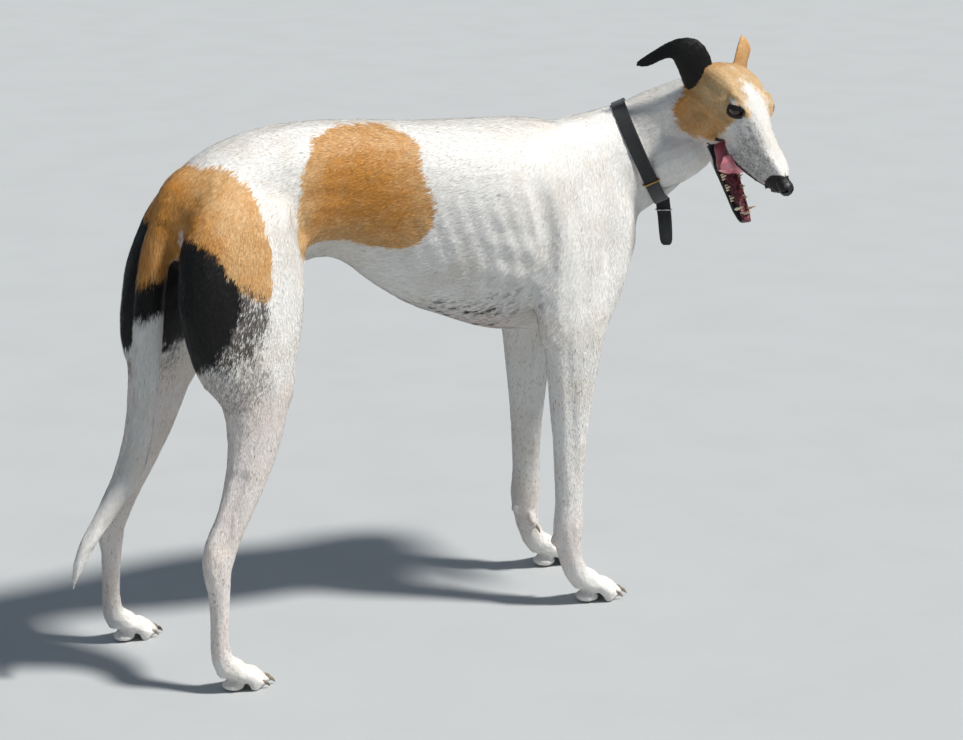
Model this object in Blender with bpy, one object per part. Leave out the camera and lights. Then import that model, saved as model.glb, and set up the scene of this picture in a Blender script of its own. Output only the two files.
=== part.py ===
"""A greyhound standing with its head turned to its right and its mouth open, life size.

X runs forward, Y to the dog's left and Z up. The forms are first laid down from measures taken between
the hind feet, and the whole is then set over the middle of the ground that it covers.
"""
from math import cos, pi, radians, sin

import bmesh
import bpy
import numpy as np
from mathutils import Matrix, Vector

# Driving sizes, in metres.
GAP = 0.0003             # kept between pieces that touch
ELBOW_HEIGHT = 0.405
CARPUS_HEIGHT = 0.118
FORE_PAW_HEIGHT = 0.060
KNEE_HEIGHT = 0.415
HOCK_HEIGHT = 0.178
HIND_PAW_HEIGHT = 0.052
STANCE_FRONT = 0.080     # half the distance between the forelegs
STANCE_BACK = 0.118      # half the distance between the hind feet
FORELEG_X = 0.567        # the right foreleg, and how far ahead of it the left one stands
LEFT_FORE_AHEAD = 0.027
LEFT_HIND_BACK = 0.052
HEAD_AT = Vector((0.8035, -0.1545, 0.7053))   # midway between the eyes
HEAD_TURN = radians(-86)
HEAD_DIP = radians(28.5)
HEAD_ROLL = radians(-6)
MOUTH_OPEN = radians(27)
JAW_HINGE = Vector((-0.035, 0, -0.030))
COLLAR_AT = Vector((0.727, -0.010, 0.634))
COLLAR_RISE = radians(66)    # the band's slope, up and back
COLLAR_TURN = radians(-32)   # how far it faces to the dog's right, as the neck does there
COLLAR_WIDTH = 0.020
COLLAR_THICK = 0.0035
COLLAR_SIDES = 32
COLLAR_LINING = 0.001     # how far the band reaches in before the neck is cut from it
KEEPER_ANGLE = radians(238)  # from the band's top towards the dog's left
TAIL_CUTS = (0.50, 0.30)     # heights

BODY_GRAIN = 0.0048      # how finely each form is worked before it is thinned out
HEAD_GRAIN = 0.0022
PAW_GRAIN = 0.0026

HEAD = (Matrix.Translation(HEAD_AT) @ Matrix.Rotation(HEAD_TURN, 4, "Z") @ Matrix.Rotation(HEAD_DIP, 4, "Y")
        @ Matrix.Rotation(HEAD_ROLL, 4, "X"))
MOVED = Vector((-0.3709, 0.0573, 0))     # from between the hind feet to the middle of the ground covered
JAW = (HEAD @ Matrix.Translation(JAW_HINGE) @ Matrix.Rotation(MOUTH_OPEN, 4, "Y")
       @ Matrix.Translation(-JAW_HINGE))

for old in list(bpy.data.objects):
    bpy.data.objects.remove(old)


# Materials
def finish(name, colour, roughness, metallic=0.0):
    made = bpy.data.materials.new(name)
    made.use_nodes = True
    shader = made.node_tree.nodes["Principled BSDF"]
    shader.inputs["Base Color"].default_value = (*colour, 1)
    shader.inputs["Roughness"].default_value = roughness
    shader.inputs["Metallic"].default_value = metallic
    return made


WHITE_COAT = finish("white_coat", (0.80, 0.77, 0.73), 0.75)
FAWN_COAT = finish("fawn_coat", (0.42, 0.20, 0.08), 0.75)
DARK_EAR = finish("dark_ear", (0.03, 0.025, 0.025), 0.7)
TONGUE_PINK = finish("tongue_pink", (0.62, 0.13, 0.14), 0.35)
NOSE_BLACK = finish("nose_black", (0.012, 0.012, 0.014), 0.4)
EYE_BROWN = finish("eye_brown", (0.035, 0.015, 0.008), 0.08)
COLLAR_BLACK = finish("collar_webbing", (0.012, 0.012, 0.012), 0.6)
BRASS = finish("brass", (0.55, 0.38, 0.14), 0.35, 1.0)
STEEL = finish("nickel_plate", (0.6, 0.6, 0.6), 0.3, 1.0)


# Tools that every form is made with
def between(rows, steps):
    """More rows on a smooth curve through the given ones."""
    table = np.array(rows, float)
    ends = np.vstack([2 * table[0] - table[1], table, 2 * table[-1] - table[-2]])
    made = []
    for i in range(1, len(ends) - 2):
        before, start, stop, after = ends[i - 1:i + 3]
        for t in np.arange(steps) / steps:
            made.append(0.5 * (2 * start + (stop - before) * t
                               + (2 * before - 5 * start + 4 * stop - after) * t * t
                               + (3 * start - before - 3 * stop + after) * t ** 3))
    made.append(table[-1])
    return np.array(made)


def power(value, exponent):
    return (1 if value >= 0 else -1) * abs(value) ** exponent


def loft(bm, rows, side=(0, 1, 0), along=None, sides=20, steps=3, place=None):
    """A closed tube through rows of x, y, z, half width, half depth, taper and fullness.

    Width runs along side, and depth square to it and to the tube. A taper over 0 makes the far end of
    the depth wider, and a fullness of 2 is an ellipse, with more of it nearer a rectangle.
    """
    table = between(rows, steps)
    place = place or Matrix()
    centres = [Vector(row[:3]) for row in table]
    mark = bm.verts.layers.int.get("mark") or bm.verts.layers.int.new("mark")
    ring = bmesh.ops.create_circle(bm, cap_ends=True, segments=sides, radius=1)["verts"]
    for number, vert in enumerate(ring):
        vert[mark] = number
    face = ring[0].link_faces[0]
    for i, row in enumerate(table):
        if i:
            ahead = bmesh.ops.extrude_face_region(bm, geom=[face])["geom"]
            if i > 1:
                bmesh.ops.delete(bm, geom=[face], context="FACES_ONLY")
            face = next(g for g in ahead if isinstance(g, bmesh.types.BMFace))
        way = Vector(along) if along else (centres[min(i + 1, len(table) - 1)]
                                           - centres[max(i - 1, 0)]).normalized()
        across = Vector(side)
        across = (across - across.dot(way) * way).normalized()
        deep = across.cross(way) if along is None else way.cross(across)
        width, depth, taper, full = row[3:7]
        for vert in face.verts:
            angle = 2 * pi * vert[mark] / sides
            c, s = power(cos(angle), 2 / full), power(sin(angle), 2 / full)
            vert.co = place @ (centres[i] + across * (width * (1 + taper * s) * c) + deep * (depth * s))


def muscle(bm, start, end, width, depth, side=(0, 1, 0), place=None, sides=16):
    """A closed egg from start to end, its width along side."""
    start, end = Vector(start), Vector(end)
    way = (end - start).normalized()
    across = Vector(side)
    across = (across - across.dot(way) * way).normalized()
    turn = Matrix((across, way.cross(across), way)).transposed().to_4x4()
    size = Matrix.Diagonal((width, depth, (end - start).length / 2, 1))
    shape = (place or Matrix()) @ Matrix.Translation((start + end) / 2) @ turn @ size
    bmesh.ops.create_uvsphere(bm, u_segments=sides, v_segments=sides * 5 // 8, radius=1, matrix=shape)


def as_object(bm, name, material=None):
    bmesh.ops.recalc_face_normals(bm, faces=bm.faces[:])
    mesh = bpy.data.meshes.new(name)
    bm.to_mesh(mesh)
    bm.free()
    made = bpy.data.objects.new(name, mesh)
    bpy.context.scene.collection.objects.link(made)
    if material:
        mesh.materials.append(material)
    return made


def settle(made):
    """Applies the modifiers of an object."""
    bpy.context.view_layer.update()
    ready = made.evaluated_get(bpy.context.evaluated_depsgraph_get())
    mesh = bpy.data.meshes.new_from_object(ready)
    made.modifiers.clear()
    old, made.data = made.data, mesh
    bpy.data.meshes.remove(old)
    return made


def soften(made, rounds, melt=0, held=None):
    """Evens out the surface and keeps its volume: each round draws every point to its neighbours and back.

    The melt rounds after those only draw in, which runs one form into the next, and held gives each
    point's share of them.
    """
    mesh = made.data
    points = np.empty(len(mesh.vertices) * 3)
    mesh.vertices.foreach_get("co", points)
    points = points.reshape(-1, 3)
    ends = np.empty(len(mesh.edges) * 2, int)
    mesh.edges.foreach_get("vertices", ends)
    a, b = ends.reshape(-1, 2).T
    count = np.bincount(ends, minlength=len(points))[:, None]

    def beside(at):
        """The middle of each point's neighbours."""
        total = [np.bincount(a, at[b, k], len(at)) + np.bincount(b, at[a, k], len(at)) for k in range(3)]
        return np.stack(total, axis=1) / count

    for _ in range(rounds):
        for share in (0.55, -0.57):
            points += share * (beside(points) - points)
    weight = held(points)[:, None] if held else 1
    for _ in range(melt):
        points += 0.5 * weight * (beside(points) - points)
    mesh.vertices.foreach_set("co", points.ravel())
    mesh.update()


def press(made, route, reach, depth, place=None):
    """Sinks a smooth channel, or with a depth under 0 raises a ridge, along a route of points."""
    mesh = made.data
    count = len(mesh.vertices)
    points, normals = np.empty(count * 3), np.empty(count * 3)
    mesh.vertices.foreach_get("co", points)
    mesh.vertex_normals.foreach_get("vector", normals)
    points, normals = points.reshape(-1, 3), normals.reshape(-1, 3)
    stops = np.array([(place or Matrix()) @ Vector(stop) for stop in route])
    near = np.full(count, np.inf)
    if len(stops) == 1:
        near = np.linalg.norm(points - stops[0], axis=1)
    for start, stop in zip(stops[:-1], stops[1:]):
        run = stop - start
        share = np.clip((points - start) @ run / (run @ run), 0, 1)
        near = np.minimum(near, np.linalg.norm(points - start - share[:, None] * run, axis=1))
    fade = np.clip(1 - (near / reach) ** 2, 0, 1) ** 2
    mesh.vertices.foreach_set("co", (points - normals * (depth * fade)[:, None]).ravel())
    mesh.update()


def worked(bm, name, grain, rounds, melt=0, held=None):
    """Fuses overlapping forms into one surface and smooths it."""
    made = as_object(bm, name)
    fuse = made.modifiers.new("fuse", "REMESH")
    fuse.mode = "VOXEL"
    fuse.voxel_size = grain
    settle(made)
    soften(made, rounds, melt, held)
    return made


def thinned(made, faces):
    """Thins the surface to about this many triangles."""
    made.data.calc_loop_triangles()
    few = made.modifiers.new("few", "DECIMATE")
    few.ratio = min(1, faces / len(made.data.loop_triangles))
    few.use_collapse_triangulate = True
    return settle(made)


def copy_of(made, name):
    copied = made.copy()
    copied.data = made.data.copy()
    copied.name = name
    bpy.context.scene.collection.objects.link(copied)
    return copied


def combine(made, other, operation, solver="EXACT"):
    """Cuts, keeps or joins with another object, and keeps the largest closed surface of the result."""
    join = made.modifiers.new(operation, "BOOLEAN")
    join.operation = operation
    join.object = other
    join.solver = solver
    settle(made)
    bm = bmesh.new()
    bm.from_mesh(made.data)
    left, parts = set(bm.faces), []
    while left:
        stack, part = [left.pop()], []
        while stack:
            face = stack.pop()
            part.append(face)
            for edge in face.edges:
                for linked in edge.link_faces:
                    if linked in left:
                        left.discard(linked)
                        stack.append(linked)
        parts.append(part)
    parts.sort(key=lambda faces: sum(f.calc_area() for f in faces))
    bmesh.ops.delete(bm, geom=[f for part in parts[:-1] for f in part], context="FACES")
    bm.to_mesh(made.data)
    bm.free()
    return made


def grown(made, by):
    """A copy swollen by a small distance, to cut a neighbour clear with."""
    swollen = copy_of(made, "swollen")
    mesh = swollen.data
    for vert, normal in zip(mesh.vertices, [n.vector.copy() for n in mesh.vertex_normals]):
        vert.co += normal * by
    mesh.update()
    return swollen


def clear_of(made, neighbour, solver="EXACT"):
    """Cuts an object clear of a neighbour that it grows from or lies on."""
    cutter = grown(neighbour, GAP)
    combine(made, cutter, "DIFFERENCE", solver)
    bpy.data.objects.remove(cutter)
    return made


def block(centre, size, turn=None, grow=0.0):
    """A box to part pieces with."""
    bm = bmesh.new()
    shape = (Matrix.Translation(centre) @ (turn or Matrix())
             @ Matrix.Diagonal([length + 2 * grow for length in size]).to_4x4())
    bmesh.ops.create_cube(bm, size=1, matrix=shape)
    return as_object(bm, "block")


def part_off(whole, name, centre, size, turn=None):
    """Takes what lies inside a box off the whole, as a piece of its own."""
    piece = copy_of(whole, name)
    inside = block(centre, size, turn)
    combine(piece, inside, "INTERSECT")
    bpy.data.objects.remove(inside)
    outside = block(centre, size, turn, GAP)
    combine(whole, outside, "DIFFERENCE")
    bpy.data.objects.remove(outside)
    return piece


# Trunk: x, top, bottom, half width, taper
TRUNK = (
    (-0.012, 0.648, 0.580, 0.024, 0.10),
    (0.012, 0.674, 0.553, 0.048, 0.10),
    (0.050, 0.701, 0.530, 0.066, 0.12),
    (0.100, 0.719, 0.520, 0.073, 0.15),
    (0.150, 0.727, 0.527, 0.069, 0.18),
    (0.200, 0.729, 0.541, 0.063, 0.18),
    (0.245, 0.727, 0.533, 0.064, 0.16),
    (0.300, 0.722, 0.490, 0.074, 0.16),
    (0.355, 0.715, 0.455, 0.085, 0.20),
    (0.405, 0.711, 0.434, 0.091, 0.24),
    (0.455, 0.708, 0.413, 0.093, 0.28),
    (0.505, 0.705, 0.400, 0.090, 0.30),
    (0.555, 0.700, 0.394, 0.083, 0.30),
    (0.605, 0.684, 0.402, 0.074, 0.25),
    (0.648, 0.655, 0.426, 0.063, 0.15),
    (0.685, 0.620, 0.463, 0.050, 0.05),
    (0.712, 0.580, 0.505, 0.028, 0.0),
)

# Neck: centre, half width, half depth
NECK = (
    (0.540, 0.000, 0.580, 0.066, 0.108),
    (0.600, 0.000, 0.596, 0.068, 0.100),
    (0.655, 0.000, 0.611, 0.064, 0.090),
    (0.700, -0.004, 0.625, 0.059, 0.085),
    (0.735, -0.011, 0.641, 0.056, 0.082),
    (0.766, -0.026, 0.668, 0.053, 0.076),
    (0.785, -0.048, 0.690, 0.050, 0.068),
    (0.796, -0.071, 0.706, 0.047, 0.060),
    (0.803, -0.093, 0.718, 0.043, 0.052),
)

# Tail: x, z, half width, half depth
TAIL = (
    (0.030, 0.668, 0.030, 0.024),
    (0.006, 0.650, 0.026, 0.022),
    (-0.012, 0.612, 0.020, 0.020),
    (-0.026, 0.560, 0.0185, 0.020),
    (-0.036, 0.490, 0.018, 0.0205),
    (-0.040, 0.424, 0.018, 0.0205),
    (-0.044, 0.368, 0.018, 0.020),
    (-0.058, 0.315, 0.016, 0.018),
    (-0.078, 0.275, 0.0145, 0.0165),
    (-0.100, 0.243, 0.013, 0.0145),
    (-0.122, 0.214, 0.011, 0.012),
    (-0.141, 0.186, 0.009, 0.0095),
    (-0.153, 0.158, 0.006, 0.0065),
    (-0.160, 0.134, 0.003, 0.003),
)

# Hind leg: height, x, sideways place, half width, half depth, all as the right leg stands
HIND_LEG = (
    (0.668, 0.076, 0.038, 0.026, 0.040),
    (0.640, 0.072, 0.048, 0.036, 0.058),
    (0.600, 0.064, 0.062, 0.043, 0.074),
    (0.555, 0.057, 0.074, 0.045, 0.083),
    (0.510, 0.054, 0.082, 0.045, 0.083),
    (0.460, 0.059, 0.089, 0.041, 0.074),
    (0.420, 0.064, 0.094, 0.036, 0.061),
    (0.385, 0.067, 0.098, 0.031, 0.048),
    (0.345, 0.064, 0.101, 0.027, 0.040),
    (0.300, 0.052, 0.105, 0.0225, 0.0325),
    (0.260, 0.036, 0.108, 0.019, 0.0265),
    (0.225, 0.019, 0.110, 0.0165, 0.023),
    (0.195, 0.004, 0.112, 0.016, 0.0235),
    (0.170, -0.002, 0.114, 0.0155, 0.0205),
    (0.142, -0.001, 0.116, 0.0140, 0.0155),
    (0.105, -0.002, 0.118, 0.0125, 0.0128),
    (0.068, -0.003, 0.119, 0.0130, 0.0128),
    (0.044, 0.000, 0.120, 0.0150, 0.0145),
    (0.026, 0.008, 0.120, 0.0160, 0.0150),
)

# Foreleg: height, x from the leg's line, sideways place from the stance, half width, half depth
FORELEG = (
    (0.490, 0.030, -0.010, 0.026, 0.055),
    (0.440, 0.012, -0.003, 0.029, 0.056),
    (0.400, 0.006, 0.001, 0.0275, 0.050),
    (0.360, 0.004, 0.001, 0.0255, 0.0425),
    (0.310, 0.002, 0.000, 0.0230, 0.0350),
    (0.255, 0.001, 0.000, 0.0195, 0.0275),
    (0.200, 0.000, 0.000, 0.0172, 0.0230),
    (0.155, 0.000, 0.000, 0.0170, 0.0210),
    (0.122, -0.001, 0.000, 0.0190, 0.0225),
    (0.098, -0.001, 0.000, 0.0175, 0.0195),
    (0.072, 0.003, 0.000, 0.0165, 0.0165),
    (0.050, 0.012, 0.000, 0.0180, 0.0165),
    (0.030, 0.026, 0.000, 0.0190, 0.0160),
)


def hind_back(height):
    """How far back the left hind leg is from the right one at a height."""
    share = min(1, max(0, (0.56 - height) / (0.56 - 0.34)))
    return LEFT_HIND_BACK * share * share * (3 - 2 * share)


def hind_x(hand, height, x):
    return x - (hind_back(height) if hand > 0 else 0)


def fore_x(hand, x=0.0):
    return FORELEG_X + x + (LEFT_FORE_AHEAD if hand > 0 else 0)


def hind_rows(hand, lowest=0, highest=1):
    return [(hind_x(hand, z, x), hand * y, z, width, depth, 0, 2.1)
            for z, x, y, width, depth in HIND_LEG if lowest <= z <= highest]


def fore_rows(hand, lowest=0, highest=1):
    return [(fore_x(hand, x), hand * (STANCE_FRONT + y), z, width, depth, 0, 2.1)
            for z, x, y, width, depth in FORELEG if lowest <= z <= highest]


def trunk(bm):
    rows = [(x, 0, (top + bottom) / 2, width, (top - bottom) / 2, taper, 2.15)
            for x, top, bottom, width, taper in TRUNK]
    loft(bm, rows, along=(1, 0, 0), sides=32)


def neck(bm, rows=NECK):
    full = [(x, y, z, width, depth, 0.05, 2.05) for x, y, z, width, depth in rows]
    loft(bm, full, side=(-0.25, 1, 0), sides=28)


def tail(bm):
    loft(bm, [(x, 0, z, width, depth, 0, 2) for x, z, width, depth in TAIL], sides=16)


def shoulder(bm, hand):
    """Shoulder blade, upper arm and the muscle behind it, and the breast muscle."""
    ahead = LEFT_FORE_AHEAD if hand > 0 else 0
    muscle(bm, (0.548, hand * 0.020, 0.690), (0.672, hand * 0.068, 0.490), 0.030, 0.056)
    muscle(bm, (0.588, hand * 0.060, 0.630), (0.548 + ahead, hand * 0.083, 0.375), 0.033, 0.056)
    muscle(bm, (0.684, hand * 0.044, 0.590), (0.590 + ahead, hand * 0.076, 0.375), 0.034, 0.034)
    muscle(bm, (0.706, hand * 0.016, 0.590), (0.590, hand * 0.036, 0.385), 0.036, 0.042)
    muscle(bm, (0.545 + ahead, hand * 0.079, 0.460), (0.530 + ahead, hand * 0.081, 0.385), 0.018, 0.022)


def thigh(bm, hand):
    """Rump, outer thigh, the bundle behind it, the knee cap and the point of the hock."""
    muscle(bm, (0.170, hand * 0.030, 0.698), (0.035, hand * 0.052, 0.560), 0.038, 0.048)
    muscle(bm, (0.036, hand * 0.048, 0.630), (hind_x(hand, 0.40, 0.034), hand * 0.088, 0.385), 0.038, 0.056)
    muscle(bm, (0.112, hand * 0.062, 0.660), (hind_x(hand, 0.42, 0.103), hand * 0.092, 0.400), 0.037, 0.043)
    muscle(bm, (hind_x(hand, 0.42, 0.108), hand * 0.095, 0.460), (hind_x(hand, 0.38, 0.094), hand * 0.099, 0.355),
           0.023, 0.024)
    muscle(bm, (hind_x(hand, 0.24, 0.016), hand * 0.109, 0.255), (hind_x(hand, 0.17, -0.014), hand * 0.114, 0.168),
           0.0105, 0.0115)


def flank_fold(bm, hand):
    """The skin between the belly and the knee."""
    muscle(bm, (0.165, hand * 0.046, 0.620), (hind_x(hand, 0.45, 0.100), hand * 0.084, 0.440), 0.014, 0.026)


def trunk_share(points):
    """1 over the trunk and the upper limbs, 0 over the thin legs and the tail."""
    up = np.clip((points[:, 2] - 0.40) / 0.07, 0, 1)
    tail_side = np.clip((points[:, 0] + 0.016) / 0.03 + np.abs(points[:, 1]) / 0.05, 0, 1)
    return up * tail_side


def throat(bm):
    """The windpipe side of the neck, which bulges under a bent head."""
    muscle(bm, (0.705, -0.006, 0.598), HEAD @ Vector((-0.024, -0.004, -0.060)), 0.038, 0.040)
    muscle(bm, (0.755, -0.022, 0.650), HEAD @ Vector((-0.045, 0.000, -0.030)), 0.046, 0.050)


def body():
    bm = bmesh.new()
    trunk(bm)
    neck(bm)
    tail(bm)
    throat(bm)
    for hand in (1, -1):
        loft(bm, hind_rows(hand))
        loft(bm, fore_rows(hand))
        shoulder(bm, hand)
        thigh(bm, hand)
        flank_fold(bm, hand)
    made = worked(bm, "torso", BODY_GRAIN, 10, 14, trunk_share)
    for hand in (1, -1):
        # The hollow on each side of the heel tendon, and the line behind the upper arm.
        for y in (0.130, 0.088):
            press(made, [(hind_x(hand, 0.29, 0.030), hand * y, 0.290), (hind_x(hand, 0.2, 0.0), hand * y, 0.205)],
                  0.020, 0.0035)
        press(made, [(fore_x(hand, -0.052), hand * 0.115, 0.60), (fore_x(hand, -0.060), hand * 0.108, 0.44)],
              0.030, 0.005)
    return made


# Head: x ahead of the eyes, top, bottom, half width, taper
SKULL = (
    (-0.104, 0.002, -0.030, 0.020, 0.0),
    (-0.088, 0.024, -0.052, 0.037, 0.05),
    (-0.065, 0.036, -0.062, 0.044, 0.05),
    (-0.040, 0.039, -0.060, 0.047, 0.05),
    (-0.016, 0.037, -0.052, 0.043, 0.05),
    (0.004, 0.032, -0.047, 0.037, 0.05),
    (0.024, 0.022, -0.045, 0.030, 0.0),
    (0.046, 0.011, -0.0445, 0.0250, -0.05),
    (0.070, 0.002, -0.044, 0.0208, -0.08),
    (0.092, -0.009, -0.043, 0.0160, -0.10),
    (0.108, -0.0155, -0.042, 0.0132, -0.10),
    (0.121, -0.0225, -0.040, 0.0100, 0.0),
)

# Lower jaw, closed: x, top, bottom, half width
JAWBONE = (
    (-0.052, -0.028, -0.060, 0.032),
    (-0.020, -0.040, -0.067, 0.0280),
    (0.010, -0.0460, -0.067, 0.0235),
    (0.040, -0.0470, -0.066, 0.0198),
    (0.070, -0.0475, -0.064, 0.0170),
    (0.100, -0.0480, -0.062, 0.0150),
    (0.119, -0.0485, -0.058, 0.0112),
)
EYE_AT = Vector((0.0060, 0.0290, 0.0125))    # the left eyeball's middle
EYE_RADIUS = 0.0108
LID_THICK = 0.0021
EYE_TURN = radians(40)                       # how far each eye looks outward
EYE_SLANT = radians(-14)
NOSE_AT = Vector((0.1235, 0, -0.0330))
LIP_DROP = 0.009                             # how far the upper lips hang


def head_form():
    bm = bmesh.new()
    rows = [(x, 0, (top + bottom) / 2, width, (top - bottom) / 2, taper, 2.2)
            for x, top, bottom, width, taper in SKULL]
    loft(bm, rows, along=(1, 0, 0), sides=28, place=HEAD)
    neck(bm, NECK[2:])
    throat(bm)
    for hand in (1, -1):
        for start, end, width, depth in (
                ((0.014, 0.034, -0.010), (-0.062, 0.042, -0.010), 0.009, 0.012),     # cheek arch
                ((0.026, 0.022, 0.014), (-0.012, 0.032, 0.028), 0.009, 0.009),       # brow
                ((-0.010, 0.034, -0.014), (-0.056, 0.032, -0.066), 0.015, 0.023),    # jaw muscle
                ((-0.006, 0.024, 0.024), (-0.092, 0.022, 0.012), 0.018, 0.019),      # temple
                ((0.010, 0.024, -0.040), (0.113, 0.0075, -0.036), 0.0080, 0.0072),   # lip
                ((0.040, 0.018, -0.012), (0.114, 0.0065, -0.022), 0.0085, 0.0120)):  # muzzle's side
            muscle(bm, (start[0], hand * start[1], start[2]), (end[0], hand * end[1], end[2]),
                   width, depth, place=HEAD)
        # The skin that is drawn between the lips at the corner of the mouth.
        muscle(bm, HEAD @ Vector((0.004, hand * 0.027, -0.034)), JAW @ Vector((-0.004, hand * 0.0225, -0.054)),
               0.0065, 0.014)
    return bm


def head_share(points):
    """1 over the neck and the throat, less over the face."""
    ahead = points @ np.array(HEAD.inverted())[0, :3] + HEAD.inverted()[0][3]
    return np.clip((-0.035 - ahead) / 0.04, 0.18, 1)


def jaw_form(bm):
    rows = [(x, 0, (top + bottom) / 2, width, (top - bottom) / 2, 0, 2.3)
            for x, top, bottom, width in JAWBONE]
    loft(bm, rows, along=(1, 0, 0), sides=22, place=JAW)


def mouth_cutter():
    """The space inside the mouth: the roof, the floor of the jaw and the gap between them at the back."""
    bm = bmesh.new()
    roof = [(x, 0, z, width, 0.010, 0, 2.6) for x, z, width in
            ((-0.012, -0.047, 0.013), (0.020, -0.045, 0.0170), (0.060, -0.044, 0.0135), (0.096, -0.043, 0.0090),
             (0.108, -0.043, 0.006))]
    loft(bm, roof, along=(1, 0, 0), place=HEAD)
    floor = [(x, 0, z, width, 0.0085, 0, 2.6) for x, z, width in
             ((-0.020, -0.047, 0.015), (0.015, -0.0480, 0.0175), (0.050, -0.0485, 0.0145), (0.085, -0.0485, 0.0115),
              (0.103, -0.0490, 0.0080))]
    loft(bm, floor, along=(1, 0, 0), place=JAW)
    made = as_object(bm, "mouth_cutter")
    fuse = made.modifiers.new("fuse", "REMESH")
    fuse.mode = "VOXEL"
    fuse.voxel_size = 0.0018
    return thinned(settle(made), 1200)


def eyeball(hand):
    bm = bmesh.new()
    middle = Vector((EYE_AT.x, hand * EYE_AT.y, EYE_AT.z))
    look = Matrix.Rotation(hand * EYE_TURN, 4, "Z") @ Matrix.Rotation(radians(90), 4, "Y")
    bmesh.ops.create_uvsphere(bm, u_segments=12, v_segments=8, radius=EYE_RADIUS,
                              matrix=HEAD @ Matrix.Translation(middle) @ look)
    return as_object(bm, "eye_" + ("left" if hand > 0 else "right"), EYE_BROWN)


def lids(head, hand):
    """A thin shell of lid over the eyeball, with an almond opening."""
    middle = Vector((EYE_AT.x, hand * EYE_AT.y, EYE_AT.z))
    look = Matrix.Rotation(hand * EYE_TURN, 4, "Z")
    bm = bmesh.new()
    bmesh.ops.create_uvsphere(bm, u_segments=18, v_segments=12, radius=EYE_RADIUS + LID_THICK,
                              matrix=HEAD @ Matrix.Translation(middle) @ look)
    shell = as_object(bm, "lid_shell")
    combine(head, shell, "UNION")
    bpy.data.objects.remove(shell)
    bm = bmesh.new()
    sides = 16
    ring = bmesh.ops.create_circle(bm, cap_ends=True, segments=sides, radius=1)["verts"]
    for vert in ring:
        angle = 2 * pi * ring.index(vert) / sides
        out, up = cos(angle), sin(angle)
        slim = 0.0062 * (1 - 0.35 * out * out) if up > 0 else 0.0052 * (1 - 0.35 * out * out)
        vert.co = (0.002, 0.0112 * out, slim * up)
    grown_faces = bmesh.ops.extrude_face_region(bm, geom=bm.faces[:])["geom"]
    front = [g for g in grown_faces if isinstance(g, bmesh.types.BMVert)]
    bmesh.ops.translate(bm, verts=front, vec=(0.03, 0, 0))
    slant = Matrix.Rotation(hand * EYE_SLANT, 4, "X")
    bmesh.ops.transform(bm, verts=bm.verts, matrix=HEAD @ Matrix.Translation(middle) @ look @ slant)
    almond = as_object(bm, "almond")
    combine(head, almond, "DIFFERENCE")
    bpy.data.objects.remove(almond)


def nose():
    bm = bmesh.new()
    rows = [(x, 0, z, width, depth, taper, 2.3) for x, z, width, depth, taper in
            ((-0.010, 0.001, 0.0085, 0.0090, 0.0), (-0.004, 0.0005, 0.0104, 0.0104, 0.05),
             (0.003, 0.0, 0.0112, 0.0106, 0.08), (0.0075, -0.0005, 0.0098, 0.0088, 0.08),
             (0.0102, -0.001, 0.0060, 0.0055, 0.0))]
    loft(bm, rows, along=(1, 0, 0), sides=14, steps=2, place=HEAD @ Matrix.Translation(NOSE_AT))
    made = as_object(bm, "nose", NOSE_BLACK)
    for hand in (1, -1):
        hole = bmesh.new()
        muscle(hole, NOSE_AT + Vector((0.0135, hand * 0.0042, 0.0010)),
               NOSE_AT + Vector((0.0010, hand * 0.0070, 0.0000)), 0.0026, 0.0030, place=HEAD, sides=8)
        nostril = as_object(hole, "nostril")
        combine(made, nostril, "DIFFERENCE")
        bpy.data.objects.remove(nostril)
    return made


# Ear: middle line, which way its width runs, half width, how far it curls, all for the left one
EAR = (
    ((-0.068, 0.034, -0.010), (-0.40, 0.84, -0.35), 0.017, 0.015),
    ((-0.076, 0.038, 0.009), (-0.40, 0.84, -0.35), 0.021, 0.015),
    ((-0.088, 0.043, 0.0275), (-0.35, 0.85, -0.40), 0.023, 0.011),
    ((-0.101, 0.053, 0.041), (-0.10, 0.80, -0.60), 0.021, 0.007),
    ((-0.114, 0.068, 0.033), (0.15, 0.65, -0.75), 0.0175, 0.005),
    ((-0.124, 0.086, 0.014), (0.30, 0.50, -0.80), 0.012, 0.003),
    ((-0.131, 0.104, 0.002), (0.35, 0.45, -0.80), 0.002, 0.0005),
)
EAR_THICK = 0.0026
EAR_BOW = 1.35           # half of the turn that the leaf's section goes through, in radians
EAR_ROOT = {1: Vector((-0.076, 0.038, 0.009)), -1: Vector((-0.076, -0.038, 0.009))}
EAR_DROP = {1: radians(0), -1: radians(11)}      # the right ear lies lower


def ear(hand):
    """A leaf of skin that rises from the skull, folds over and lies back."""
    table = between([(*at, *wide, half, curl) for at, wide, half, curl in EAR], 2)
    across = 6
    drop = (Matrix.Translation(EAR_ROOT[hand]) @ Matrix.Rotation(EAR_DROP[hand], 4, "X")
            @ Matrix.Translation(-EAR_ROOT[hand]))
    bm = bmesh.new()
    bmesh.ops.create_grid(bm, x_segments=len(table) - 1, y_segments=across, size=1)
    for vert in bm.verts:
        row = round((vert.co.x + 1) / 2 * (len(table) - 1))
        v = vert.co.y
        at = Vector(table[row][:3])
        way = Vector(table[min(row + 1, len(table) - 1)][:3]) - Vector(table[max(row - 1, 0)][:3])
        wide = Vector(table[row][3:6]).normalized()
        out = wide.cross(way).normalized()
        half, curl = table[row][6:8]
        spot = at + wide * half * sin(v * EAR_BOW) / sin(EAR_BOW) + out * curl * (cos(v * EAR_BOW) - 0.45)
        vert.co = (spot.x, hand * spot.y, spot.z)
    if hand < 0:
        bmesh.ops.reverse_faces(bm, faces=bm.faces)
    bm.normal_update()
    bmesh.ops.solidify(bm, geom=bm.faces[:], thickness=EAR_THICK)
    bmesh.ops.transform(bm, verts=bm.verts, matrix=HEAD @ drop)
    return as_object(bm, "ear_" + ("left" if hand > 0 else "right"), DARK_EAR if hand < 0 else FAWN_COAT)


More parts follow.
